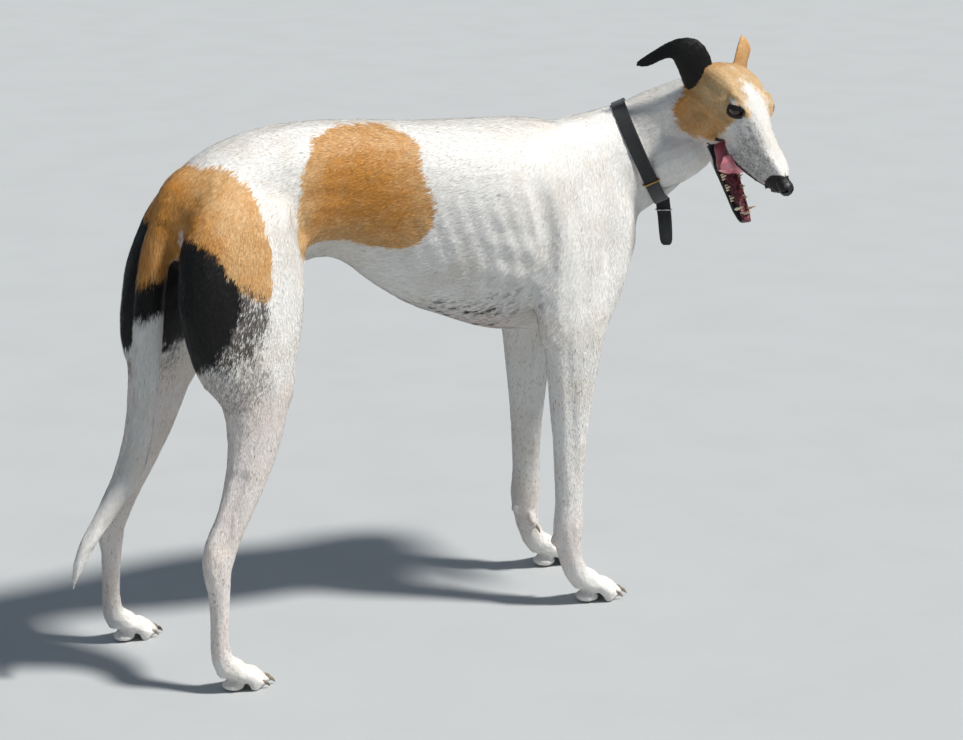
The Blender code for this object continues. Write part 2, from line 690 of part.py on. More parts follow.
def cone(bm, start, end, root, tip, place, bend=0.0):
    """A tapering point, for a tooth or a claw, which bends up by a share of its length."""
    start, end = Vector(start), Vector(end)
    rows = [(*start, root, root, 0, 2), (*end, tip, tip, 0, 2)]
    if bend:
        middle = (start + end) / 2 + Vector((0, 0, bend * (end - start).length))
        rows.insert(1, (*middle, root * 0.75, root * 0.75, 0, 2))
    loft(bm, rows, sides=5, steps=1, place=place)


def joined(made, pieces):
    """Joins small closed pieces to the node that they grow from."""
    combine(made, pieces, "UNION")
    bpy.data.objects.remove(pieces)
    return made


def lower_teeth():
    bm = bmesh.new()
    for hand in (1, -1):
        cone(bm, (0.097, hand * 0.0105, -0.053), (0.104, hand * 0.0120, -0.036), 0.0028, 0.0006, JAW)
        for number in range(3):
            y = hand * (0.0013 + 0.0027 * number)
            cone(bm, (0.1065 - 0.001 * number, y, -0.0530), (0.1095 - 0.001 * number, y, -0.0440), 0.0015, 0.0008, JAW)
        for number in range(4):
            x = 0.080 - 0.0155 * number
            y = hand * (0.0132 + 0.0013 * number)
            cone(bm, (x, y, -0.053), (x + 0.001, y, -0.0425 + 0.0006 * number), 0.0026, 0.0008, JAW)
    return as_object(bm, "lower_teeth")


def upper_teeth():
    bm = bmesh.new()
    for hand in (1, -1):
        cone(bm, (0.102, hand * 0.0095, -0.037), (0.106, hand * 0.0105, -0.0535), 0.0027, 0.0006, HEAD)
        for number in range(3):
            y = hand * (0.0013 + 0.0024 * number)
            cone(bm, (0.1125 - 0.0012 * number, y, -0.037), (0.1145 - 0.0012 * number, y, -0.0465), 0.0015, 0.0008, HEAD)
        for number in range(4):
            x = 0.084 - 0.0165 * number
            y = hand * (0.0128 + 0.0016 * number)
            cone(bm, (x, y, -0.038), (x, y, -0.0485 - 0.0005 * number), 0.0028, 0.0009, HEAD)
    return as_object(bm, "upper_teeth")


def tongue():
    """It lies in the floor of the jaw, leans out over the right lip and rolls up at its tip."""
    bm = bmesh.new()
    rows = [(*(JAW @ Vector(at)), width, depth, 0, 2.2) for at, width, depth in (
        ((-0.022, 0.000, -0.0480), 0.0110, 0.0050),
        ((0.000, -0.003, -0.0475), 0.0125, 0.0055),
        ((0.022, -0.009, -0.0430), 0.0135, 0.0055),
        ((0.040, -0.018, -0.0330), 0.0135, 0.0050),
        ((0.047, -0.027, -0.0200), 0.0130, 0.0045),
        ((0.042, -0.034, -0.0090), 0.0115, 0.0040),
        ((0.030, -0.036, -0.0060), 0.0080, 0.0035),
        ((0.022, -0.035, -0.0090), 0.0030, 0.0020))]
    loft(bm, rows, side=HEAD.to_3x3() @ Vector((0.3, 0.9, 0.2)), sides=10, steps=2)
    return as_object(bm, "tongue", TONGUE_PINK)


# Paw: how far each toe reaches, and its place to the side, from the outer toe to the inner
TOES = ((0.028, 0.0175), (0.041, 0.0062), (0.041, -0.0062), (0.028, -0.0175))
FORE_PAW_X = 0.038       # from the leg's line to the middle of the paw
HIND_PAW_X = 0.020


def paw_place(hand, fore):
    """The middle of a sole, turned a little outward."""
    x = fore_x(hand, FORE_PAW_X) if fore else hind_x(hand, 0, HIND_PAW_X)
    y = hand * (STANCE_FRONT if fore else STANCE_BACK + 0.002)
    scale = 1.0 if fore else 0.92
    return (Matrix.Translation((x, y, 0)) @ Matrix.Rotation(hand * radians(4), 4, "Z")
            @ Matrix.Diagonal((scale, scale * hand, scale, 1)))


def paw_form(hand, fore):
    place = paw_place(hand, fore)
    bm = bmesh.new()
    rows = fore_rows(hand, 0, 0.16) if fore else hind_rows(hand, 0, 0.15)
    loft(bm, rows)
    muscle(bm, (-0.034, 0, 0.050), (0.018, 0, 0.020), 0.0205, 0.0165, place=place)
    muscle(bm, (-0.024, 0, 0.009), (0.012, 0, 0.006), 0.0165, 0.0085, place=place)
    for reach, y in TOES:
        muscle(bm, (reach - 0.044, 0.75 * y, 0.030), (reach - 0.004, y, 0.0200), 0.0085, 0.0095, place=place)
        muscle(bm, (reach - 0.024, y, 0.0235), (reach + 0.006, y * 1.04, 0.0065), 0.0078, 0.0085, place=place)
        muscle(bm, (reach - 0.016, y, 0.0060), (reach + 0.002, y, 0.0050), 0.0068, 0.0068, place=place)
    if fore:
        muscle(bm, (-0.062, 0, 0.108), (-0.052, 0, 0.090), 0.0075, 0.0080, place=place)
        muscle(bm, (-0.044, -0.0165, 0.092), (-0.036, -0.0195, 0.070), 0.0050, 0.0060, place=place)
    return bm


def claws(hand, fore):
    bm = bmesh.new()
    place = paw_place(hand, fore)
    for reach, y in TOES:
        cone(bm, (reach, y, 0.0110), (reach + 0.0140, y * 1.05, 0.0035), 0.0028, 0.0008, place, 0.15)
    if fore:
        cone(bm, (-0.037, -0.0205, 0.073), (-0.030, -0.0225, 0.063), 0.0020, 0.0006, place)
    return as_object(bm, "claws")


def paw(hand, fore):
    """A paw and the pastern over it, flat where it stands, with its claws."""
    made = worked(paw_form(hand, fore), "foot", PAW_GRAIN, 6, 1)
    for outer, inner in zip(TOES[:-1], TOES[1:]):
        y = (outer[1] + inner[1]) / 2
        reach = min(outer[0], inner[0])
        press(made, [(reach - 0.030, y, 0.036), (reach - 0.006, y, 0.032), (reach + 0.012, y, 0.012)],
              0.0060, 0.0022, paw_place(hand, fore))
    thinned(made, 430)
    joined(made, claws(hand, fore))
    ground = block((0.3, 0, -0.05), (2, 1, 0.1))
    combine(made, ground, "DIFFERENCE")
    bpy.data.objects.remove(ground)
    return made


# The collar's plane: up runs to its top, and ahead is square to it
COLLAR_FACING = Matrix.Rotation(COLLAR_TURN, 3, "Z")
COLLAR_UP = COLLAR_FACING @ Vector((-cos(COLLAR_RISE), 0, sin(COLLAR_RISE)))
COLLAR_FORE = COLLAR_FACING @ Vector((sin(COLLAR_RISE), 0, cos(COLLAR_RISE)))


def collar_frame():
    side = COLLAR_UP.cross(COLLAR_FORE)
    return Matrix.Translation(COLLAR_AT) @ Matrix((COLLAR_FORE, side, COLLAR_UP)).transposed().to_4x4()


def ring_of_neck(pieces):
    """How far the neck reaches from the collar's middle, every few degrees round, under all the band's width."""
    frame = collar_frame()
    reach = []
    for number in range(COLLAR_SIDES):
        angle = 2 * pi * number / COLLAR_SIDES
        out = frame.to_3x3() @ Vector((0, sin(angle), cos(angle)))
        far = []
        for flesh in pieces:
            for share in (-0.5, 0, 0.5):
                start = COLLAR_AT + COLLAR_FORE * (share * COLLAR_WIDTH)
                hit, spot, _, _ = flesh.ray_cast(start, out)
                far.append((spot - start).length if hit else 0)
        reach.append(max(far))
    return reach


def collar_band(pieces):
    """A strap round the neck, swept round a ring and then fitted to the neck's shape."""
    reach = ring_of_neck(pieces)
    bm = bmesh.new()
    ring = bmesh.ops.create_grid(bm, x_segments=1, y_segments=1, size=0.5)["verts"]
    for vert in ring:
        vert.co = (COLLAR_WIDTH * vert.co.x, 0, 1 + vert.co.y)
    bmesh.ops.delete(bm, geom=bm.faces[:], context="FACES_ONLY")
    bmesh.ops.spin(bm, geom=bm.verts[:] + bm.edges[:], axis=(1, 0, 0), cent=(0, 0, 0), dvec=(0, 0, 0),
                   angle=2 * pi, steps=COLLAR_SIDES, use_merge=True, use_duplicate=False)
    for vert in bm.verts:
        x, y, z = vert.co
        number = round((pi / 2 - np.arctan2(z, y)) / (2 * pi) * COLLAR_SIDES) % COLLAR_SIDES
        out = COLLAR_THICK if y * y + z * z > 1 else -COLLAR_LINING
        radius = reach[number] + out
        angle = 2 * pi * number / COLLAR_SIDES
        vert.co = collar_frame() @ Vector((x, radius * sin(angle), radius * cos(angle)))
    made = as_object(bm, "collar_band", COLLAR_BLACK)
    for flesh in pieces:
        clear_of(made, flesh)
    return made, reach


def collar_spot(reach, angle, out):
    """A point on the band, by its angle from the top towards the dog's left."""
    number = angle / (2 * pi) * COLLAR_SIDES
    low = int(number // 1) % COLLAR_SIDES
    share = number % 1
    radius = reach[low] * (1 - share) + reach[(low + 1) % COLLAR_SIDES] * share + out
    return collar_frame() @ Vector((0, radius * sin(angle), radius * cos(angle)))


def collar_keeper(reach):
    """A metal clip over the band, low on the dog's right side."""
    spot = collar_spot(reach, KEEPER_ANGLE, COLLAR_THICK + 0.0010)
    out = (spot - COLLAR_AT).normalized()
    along = COLLAR_FORE.cross(out).normalized()
    turn = Matrix((COLLAR_FORE, along, out)).transposed().to_4x4()
    bm = bmesh.new()
    shape = Matrix.Translation(spot) @ turn @ Matrix.Diagonal((COLLAR_WIDTH + 0.005, 0.005, 0.003, 1))
    bmesh.ops.create_cube(bm, size=1, matrix=shape)
    return as_object(bm, "collar_keeper", BRASS)


def collar_strap():
    """The loose end of the strap, hanging from the bottom of the band, flat side to the dog's right."""
    bm = bmesh.new()
    rows = [(*at, width, 0.0017, 0, 8) for at, width in (
        ((0.7645, -0.014, 0.558), 0.0105), ((0.7660, -0.015, 0.548), 0.0105), ((0.7685, -0.016, 0.525), 0.0100),
        ((0.7700, -0.017, 0.502), 0.0092), ((0.7705, -0.017, 0.493), 0.0060))]
    loft(bm, rows, side=(0.86, -0.51, 0), sides=12, steps=2)
    return as_object(bm, "collar_strap", COLLAR_BLACK)


def collar_loop(strap):
    """A metal loop round the top of the loose end."""
    at = Vector((0.7662, -0.0151, 0.546))
    turn = Matrix.Rotation(-0.535, 4, "Z")
    made = block(at, (0.026, 0.0075, 0.006), turn)
    made.name = made.data.name = "collar_loop"
    made.data.materials.append(STEEL)
    return clear_of(made, strap, "MANIFOLD")


def hang_lips(skull):
    """Lets the upper lips hang, as a panting dog's do: a smooth stretch of what is below the palate."""
    def turn(share):
        share = min(max(share, 0), 1)
        return share * share * (3 - 2 * share)

    back = HEAD.inverted()
    for vert in skull.data.vertices:
        x, y, z = back @ vert.co
        share = turn((-0.026 - z) / 0.0185) * turn((x - 0.006) / 0.030) * turn((0.134 - x) / 0.014)
        vert.co = HEAD @ Vector((x, y * (1 + 0.10 * share), z - LIP_DROP * share))


def part_head(head):
    """Cuts the skull and the jaw from the upper neck and sets the eyes, nose, ears, teeth and tongue."""
    for hand in (1, -1):
        lids(head, hand)
        clear_of(head, eyeball(hand))
    face = HEAD @ Matrix.Rotation(radians(-28), 4, "Y")
    skull = part_off(head, "head", HEAD @ Vector((-0.072, 0, -0.032)) + face.to_3x3() @ Vector((0.3, 0, 0)),
                     (0.6, 0.4, 0.6), face.to_3x3().to_4x4())
    jaw = part_off(skull, "lower_jaw", JAW @ Vector((0.100, 0, -0.090)), (0.2, 0.2, 0.1), JAW.to_3x3().to_4x4())
    joined(skull, upper_teeth())
    joined(jaw, lower_teeth())
    hang_lips(skull)
    clear_of(skull, nose())
    for hand in (1, -1):
        clear_of(ear(hand), skull)
    clear_of(clear_of(tongue(), skull), jaw)


def part_legs(flesh):
    """Cuts the limbs from the trunk at the joints, and gives each its own paw."""
    sides = ((1, "left"), (-1, "right"))
    shins = [part_off(flesh, "lower_thigh_" + word, (0, hand * 0.3, KNEE_HEIGHT - 0.5), (0.6, 0.6, 1))
             for hand, word in sides]
    for (hand, word), leg in zip(sides, shins):
        lean = Matrix.Rotation(hand * radians(-22.4), 4, "X")
        part_off(flesh, "thigh_" + word, Vector((-0.0175, hand * 0.030, 0.49)) + lean @ Vector((0, hand * 0.2, 0)),
                 (0.365, 0.4, 1.4), lean)
        for name, height in (("hind_pastern_", HOCK_HEIGHT + 0.02), ("scrap_", HIND_PAW_HEIGHT)):
            leg = part_off(leg, name + word, (0, 0, height - 0.5), (1, 1, 1))
        arm = part_off(flesh, "forearm_" + word, (0.6, hand * 0.145, ELBOW_HEIGHT - 0.5), (0.4, 0.2, 1))
        rest = part_off(arm, "more_scrap_" + word, (0.6, 0, CARPUS_HEIGHT + 0.02 - 0.5), (1, 1, 1))
        for scrap in (leg, rest):
            bpy.data.objects.remove(scrap)
        foot = paw(hand, True)
        whole = part_off(foot, "fore_pastern_" + word, (0.6, 0, CARPUS_HEIGHT + 0.02 - 0.5), (1, 1, 1))
        bpy.data.objects.remove(foot)
        part_off(whole, "fore_paw_" + word, (0.6, 0, FORE_PAW_HEIGHT - 0.5), (1, 1, 1))
        foot = paw(hand, False)
        part_off(foot, "hind_paw_" + word, (0, 0, HIND_PAW_HEIGHT - 0.5), (1, 1, 1))
        bpy.data.objects.remove(foot)


def part_tail(flesh):
    """Cuts the tail off in three lengths."""
    hang = Matrix.Rotation(radians(9.6), 4, "Y")
    root = part_off(flesh, "tail_root", Vector((0.004, 0, 0.612)) + hang @ Vector((-0.2, 0, -0.3)),
                    (0.4, 0.054, 0.6), hang)
    middle = part_off(root, "tail_middle", (-0.1, 0, TAIL_CUTS[0] - 0.3), (0.4, 0.2, 0.6))
    part_off(middle, "tail_end", (-0.1, 0, TAIL_CUTS[1] - 0.3), (0.4, 0.2, 0.6))


def main():
    flesh = thinned(body(), 4500)
    skull = head_form()
    jaw_form(skull)
    head = worked(skull, "neck_upper", HEAD_GRAIN, 5, 24, head_share)
    cutter = mouth_cutter()
    combine(head, cutter, "DIFFERENCE")
    bpy.data.objects.remove(cutter)
    thinned(head, 2400)

    # The neck below the band comes from the body, and the rest from the head.
    at_collar = COLLAR_AT + COLLAR_FORE * 0.25
    turn = COLLAR_FACING.to_4x4() @ Matrix.Rotation(radians(90) - COLLAR_RISE, 4, "Y").inverted()
    bpy.data.objects.remove(part_off(flesh, "beyond", at_collar, (0.5, 0.5, 0.6), turn))
    ahead = part_off(head, "neck_ahead", at_collar, (0.5, 0.5, 0.6), turn)
    bpy.data.objects.remove(head)
    ahead.name = "neck_upper"

    band, reach = collar_band((flesh, ahead))
    clear_of(collar_keeper(reach), band)
    strap = collar_strap()
    collar_loop(strap)
    clear_of(strap, band)

    lean = Matrix.Rotation(radians(-30), 4, "Y")
    part_off(flesh, "neck_lower", Vector((0.668, 0, 0.618)) + lean @ Vector((0.2, 0, 0)), (0.4, 0.4, 0.6), lean)
    part_tail(flesh)
    part_legs(flesh)
    part_head(ahead)

    for made in bpy.data.objects:
        if not made.data.materials:
            made.data.materials.append(WHITE_COAT)
        made.data.transform(Matrix.Translation(MOVED))


main()
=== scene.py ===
# %% [markdown]
# # A life-size greyhound
# The dog is a still model such as a museum shows. Its solids come packed from CAD, in metres, and stay where they
# are. This script clothes them: one skin with folds and lids, a short coat, eyes, claws, teeth and a collar.

# %% Frame
from math import cos, pi, radians, sin
import bmesh
import bpy
import numpy as np
from mathutils import Matrix, Vector
from mathutils.bvhtree import BVHTree


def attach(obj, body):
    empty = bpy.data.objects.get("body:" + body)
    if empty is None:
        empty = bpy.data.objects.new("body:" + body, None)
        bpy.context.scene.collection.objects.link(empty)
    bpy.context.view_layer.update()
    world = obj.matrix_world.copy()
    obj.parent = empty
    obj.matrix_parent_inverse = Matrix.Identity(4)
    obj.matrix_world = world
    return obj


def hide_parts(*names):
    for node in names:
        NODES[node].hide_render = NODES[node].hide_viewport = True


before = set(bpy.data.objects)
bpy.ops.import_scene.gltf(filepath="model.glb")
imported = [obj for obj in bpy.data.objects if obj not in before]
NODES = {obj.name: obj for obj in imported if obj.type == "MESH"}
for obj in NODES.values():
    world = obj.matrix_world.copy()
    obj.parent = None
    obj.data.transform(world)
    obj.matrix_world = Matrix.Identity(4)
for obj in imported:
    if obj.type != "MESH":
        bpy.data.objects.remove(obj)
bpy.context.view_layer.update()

MM = 0.001

# %% [markdown]
# ## Working tools
# A skin is easiest to shape as arrays of points. These helpers read a mesh into arrays and write it back, average
# a value over its neighbours, and finish a modifier. A Boolean joins or cuts closed shells.


# %% Mesh helpers
def link(mesh, name, materials=()):
    made = bpy.data.objects.new(name, mesh)
    bpy.context.scene.collection.objects.link(made)
    for material in materials:
        mesh.materials.append(material)
    return made


def as_object(bm, name, materials=(), smooth=True):
    """Puts a bmesh into the scene as an object whose place is in its mesh."""
    mesh = bpy.data.meshes.new(name)
    bm.to_mesh(mesh)
    bm.free()
    for face in mesh.polygons:
        face.use_smooth = smooth
    return link(mesh, name, materials)


def settle(made):
    """Applies an object's modifiers."""
    bpy.context.view_layer.update()
    graph = bpy.context.evaluated_depsgraph_get()
    mesh = bpy.data.meshes.new_from_object(made.evaluated_get(graph))
    old = made.data
    made.modifiers.clear()
    made.data = mesh
    bpy.data.meshes.remove(old)
    return made


def modified(made, kind, **settings):
    step = made.modifiers.new(kind.lower(), kind)
    for key, value in settings.items():
        setattr(step, key, value)
    return settle(made)


def combine(made, other, operation):
    """Joins, cuts or crosses two closed shells, and removes the second."""
    modified(made, "BOOLEAN", operation=operation, object=other, solver="MANIFOLD")
    bpy.data.objects.remove(other)
    return made


def points_of(mesh):
    flat = np.empty(len(mesh.vertices) * 3)
    mesh.vertices.foreach_get("co", flat)
    return flat.reshape(-1, 3)


def normals_of(mesh):
    flat = np.empty(len(mesh.vertices) * 3)
    mesh.vertex_normals.foreach_get("vector", flat)
    return flat.reshape(-1, 3)


def edges_of(mesh):
    flat = np.empty(len(mesh.edges) * 2, np.int32)
    mesh.edges.foreach_get("vertices", flat)
    return flat.reshape(-1, 2)


def put_points(mesh, points):
    mesh.vertices.foreach_set("co", points.astype(np.float32).ravel())
    mesh.update()


def neighbour_mean(values, edges):
    count = np.bincount(edges.ravel(), minlength=len(values))
    total = np.empty_like(values)
    for column in range(values.shape[1]):
        one = values[:, column]
        total[:, column] = (np.bincount(edges[:, 0], one[edges[:, 1]], len(values))
                            + np.bincount(edges[:, 1], one[edges[:, 0]], len(values)))
    return total / np.maximum(count, 1)[:, None]


def spread(values, edges, rounds, share=0.5):
    """Evens a value out over the mesh."""
    flat = values.reshape(len(values), -1).astype(float)
    for _ in range(rounds):
        flat += share * (neighbour_mean(flat, edges) - flat)
    return flat.reshape(values.shape)


def soften(mesh, rounds, share, melt=0):
    """Smooths without shrinking, by the share at each point, then melts for a few rounds, which does shrink."""
    points, edges = points_of(mesh), edges_of(mesh)
    for number in range(2 * rounds + melt):
        step = 0.62 if number >= 2 * rounds or number % 2 == 0 else -0.64
        points += step * share[:, None] * (neighbour_mean(points, edges) - points)
    put_points(mesh, points)


def ramp(values, low, high):
    """0 below low, 1 above high, and a smooth turn between."""
    share = np.clip((values - low) / (high - low), 0, 1)
    return share * share * (3 - 2 * share)


def to_route(points, route):
    """How far each point is from a line through a few places, and how far along it, from 0 to 1."""
    best, along = np.full(len(points), 1e9), np.zeros(len(points))
    route = [np.array(place, float) for place in route]
    for number, (start, end) in enumerate(zip(route[:-1], route[1:])):
        way = end - start
        share = np.clip((points - start) @ way / (way @ way), 0, 1)
        gap = np.linalg.norm(points - start - share[:, None] * way, axis=1)
        nearer = gap < best
        best[nearer], along[nearer] = gap[nearer], (number + share[nearer]) / (len(route) - 1)
    return best, along


print("helpers ready")

# %% [markdown]
# ## Where things are
# The head's own frame has x towards the nose, y towards the dog's left and z up, and starts midway between the
# eyes. The jaw's frame turns from it at the hinge. These sizes are the ones that the solids were made from.

# %% Sizes
MIDLINE = 0.0573
HEAD_AT = Vector((0.4326, -0.0972, 0.7053))
HEAD = (Matrix.Translation(HEAD_AT) @ Matrix.Rotation(radians(-86), 4, "Z") @ Matrix.Rotation(radians(28.5), 4, "Y")
        @ Matrix.Rotation(radians(-6), 4, "X"))
JAW_HINGE = Vector((-0.035, 0, -0.030))
JAW = (HEAD @ Matrix.Translation(JAW_HINGE) @ Matrix.Rotation(radians(27), 4, "Y")
       @ Matrix.Translation(-JAW_HINGE))
COLLAR_AT = Vector((0.3561, 0.0473, 0.634))
COLLAR_RISE = radians(66)
COLLAR_FACING = Matrix.Rotation(radians(-32), 3, "Z")
COLLAR_UP = COLLAR_FACING @ Vector((-cos(COLLAR_RISE), 0, sin(COLLAR_RISE)))
COLLAR_FORE = COLLAR_FACING @ Vector((sin(COLLAR_RISE), 0, cos(COLLAR_RISE)))
COLLAR_SIDE = COLLAR_UP.cross(COLLAR_FORE)
COLLAR_WIDTH = 0.020


def into(matrix, points):
    """Points of the row frame, in the frame of the matrix."""
    turned = np.array(matrix.inverted())
    return points @ turned[:3, :3].T + turned[:3, 3]


def from_head(*places):
    return [HEAD @ Vector(place) for place in places]


SIDES = ((1, "left"), (-1, "right"))
FLESH = [name for name in NODES if not name.startswith(("collar", "eye", "nose", "tongue"))]
BODY_FLESH = [name for name in FLESH if not name.startswith(("head", "lower_jaw", "ear"))]
HEAD_FLESH = ["head", "lower_jaw", "neck_upper", "neck_lower", "ear_left", "ear_right"]
print("head at", tuple(round(x, 3) for x in HEAD_AT))

# %% [markdown]
# ## Camera, light and floor
# The camera stands where the photograph's did, a little above the dog's back. A low sun angle gives the flank its
# relief, so one broad lamp stands in for it, with a soft sky all round and a plain pale floor.

# %% Camera and light
PHOTO_WIDTH = 963
FOCAL_PIXELS = 2798.58
CAMERA_RIGHT = Vector((0.8587, -0.5124, 0.0)).normalized()
CAMERA_UP = Vector((0.1412, 0.2367, 0.9613)).normalized()
TO_SUN = Vector((0.40, -0.40, 0.82)).normalized()

lens = bpy.data.cameras.new("camera")
lens.sensor_width = 36
lens.lens = 36 * FOCAL_PIXELS / PHOTO_WIDTH
lens.clip_end = 50
camera = bpy.data.objects.new("camera", lens)
bpy.context.scene.collection.objects.link(camera)
turn = Matrix((CAMERA_RIGHT, CAMERA_UP, CAMERA_RIGHT.cross(CAMERA_UP))).transposed().to_4x4()
camera.matrix_world = Matrix.Translation((-1.8461, -3.2024, 1.4339)) @ turn
bpy.context.scene.camera = camera

sun = bpy.data.lights.new("sun", "SUN")
sun.energy = 4.4
sun.angle = radians(7)
sun.color = (1.0, 0.975, 0.935)
sun_object = bpy.data.objects.new("sun", sun)
sun_object.rotation_euler = TO_SUN.to_track_quat("Z", "Y").to_euler()
bpy.context.scene.collection.objects.link(sun_object)

world = bpy.data.worlds.new("sky")
world.use_nodes = True
sky = world.node_tree.nodes["Background"]
sky.inputs["Color"].default_value = (0.60, 0.72, 0.88, 1)
sky.inputs["Strength"].default_value = 0.30
bpy.context.scene.world = world
bpy.context.scene.view_settings.view_transform = "Standard"
print("lens", round(lens.lens, 1), "mm")

# %% [markdown]
# ## The skin
# Copies of the flesh solids are merged, grown until they meet, and fused by a voxel remesh. Many rounds of a
# smoothing that doesn't shrink take the facets away. The body is worked at 2 mm and the head at 1.3 mm, because
# the head has lids, lips and ears. The two meet under the collar, where nothing of the join shows.

# %% Fusing the flesh
BODY_GRAIN, HEAD_GRAIN = ((0.0021, 0.0013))
GROW = 0.0006


def box_in(place, low, high):
    """A block between two corners of a frame."""
    bm = bmesh.new()
    size = Vector(high) - Vector(low)
    middle = (Vector(high) + Vector(low)) / 2
    bmesh.ops.create_cube(bm, size=1, matrix=place @ Matrix.Translation(middle) @ Matrix.Diagonal((*size, 1)))
    return as_object(bm, "box")


COLLAR = Matrix.Translation(COLLAR_AT) @ Matrix((COLLAR_FORE, COLLAR_SIDE, COLLAR_UP)).transposed().to_4x4()
# The teeth of the solids go, because finer ones stand there, and so does what the head's mesh has no use for.
TRIMS = {"head": ((HEAD, (0.028, -0.03, -0.070), (0.075, 0.03, -0.0542)),
                  (HEAD, (0.074, -0.03, -0.070), (0.090, 0.03, -0.0527)),
                  (HEAD, (0.089, -0.03, -0.070), (0.125, 0.03, -0.0508))),
         "lower_jaw": ((JAW, (0.026, -0.03, -0.0493), (0.125, 0.03, -0.030)),),
         "neck_lower": ((COLLAR, (-0.4, -0.2, -0.2), (-0.035, 0.2, 0.2)),)}


def fused(names, name, grain, trims):
    """Copies of the named solids, trimmed, grown by a little and fused."""
    whole = bmesh.new()
    for node in names:
        piece = bmesh.new()
        piece.from_mesh(NODES[node].data)
        bmesh.ops.remove_doubles(piece, verts=piece.verts, dist=1e-6)
        if node in trims:
            cut = as_object(piece, "copy")
            for block in trims[node]:
                combine(cut, box_in(*block), "DIFFERENCE")
            piece = bmesh.new()
            piece.from_mesh(cut.data)
            bpy.data.objects.remove(cut)
        piece.normal_update()
        for vert in piece.verts:
            vert.co += vert.normal * GROW
        spare = bpy.data.meshes.new("spare")
        piece.to_mesh(spare)
        piece.free()
        whole.from_mesh(spare)
        bpy.data.meshes.remove(spare)
    return modified(as_object(whole, name), "REMESH", mode="VOXEL", voxel_size=grain)


def body_share(points):
    """How much each point is smoothed: all of it on the trunk, less on thin legs and least on the feet."""
    return 0.10 + 0.35 * ramp(points[:, 2], 0.06, 0.11) + 0.55 * ramp(points[:, 2], 0.36, 0.48)


body = fused(BODY_FLESH, "skin", BODY_GRAIN, {})
soften(body.data, 45, body_share(points_of(body.data)))
face = fused(HEAD_FLESH, "face", HEAD_GRAIN, TRIMS)


def ear_share(points):
    """1 on the free part of an ear, 0 elsewhere. It follows the middle line of each leaf."""
    at = into(HEAD, points)
    found = np.zeros(len(points))
    for hand, _ in SIDES:
        route = [(-0.084, hand * 0.041, 0.024), (-0.095, hand * 0.048, 0.040), (-0.108, hand * 0.060, 0.038),
                 (-0.120, hand * 0.078, 0.022), (-0.131, hand * 0.104, 0.002)]
        gap, _ = to_route(at, route)
        found = np.maximum(found, ramp(-gap, -0.032, -0.026) * ramp(at[:, 2] + 0.4 * hand * at[:, 1], 0.018, 0.034))
    return found


def face_share(points):
    """All of it on the neck, less on the skull, and least on the ears and the lips."""
    at = into(HEAD, points)
    share = 0.55 + 0.45 * ramp(-at[:, 0], 0.050, 0.09)
    mouth = ramp(at[:, 0], -0.005, 0.02) * ramp(-at[:, 2], 0.018, 0.030)
    return (share - 0.25 * mouth) * (1 - 0.55 * ear_share(points))


soften(face.data, 60, face_share(points_of(face.data)))
print("body", len(body.data.vertices), "points, head", len(face.data.vertices))

# %% [markdown]
# ## Muscles, ribs and tendons
# A sculptor would now draw with a soft tool. Each stroke follows a route of a few places, sinks the skin beside it
# by a depth in millimetres, or raises it where the depth is below zero, and fades out over its reach.


# %% Strokes on the body
def stroke(points, normals, route, reach, depth):
    low = np.min(route, axis=0) - reach
    high = np.max(route, axis=0) + reach
    near = np.flatnonzero(((points > low) & (points < high)).all(1))
    gap, along = to_route(points[near], route)
    fade = np.clip(1 - (gap / reach) ** 2, 0, 1) ** 2 * (0.25 + 0.75 * np.sin(pi * along) ** 0.5)
    points[near] -= normals[near] * (depth * MM * fade)[:, None]


def both_sides(route, ahead=0.0):
    """A route on the dog's right, and the same on its left."""
    mirrored = [(x + ahead, 2 * MIDLINE - y, z) for x, y, z in route]
    return route, mirrored


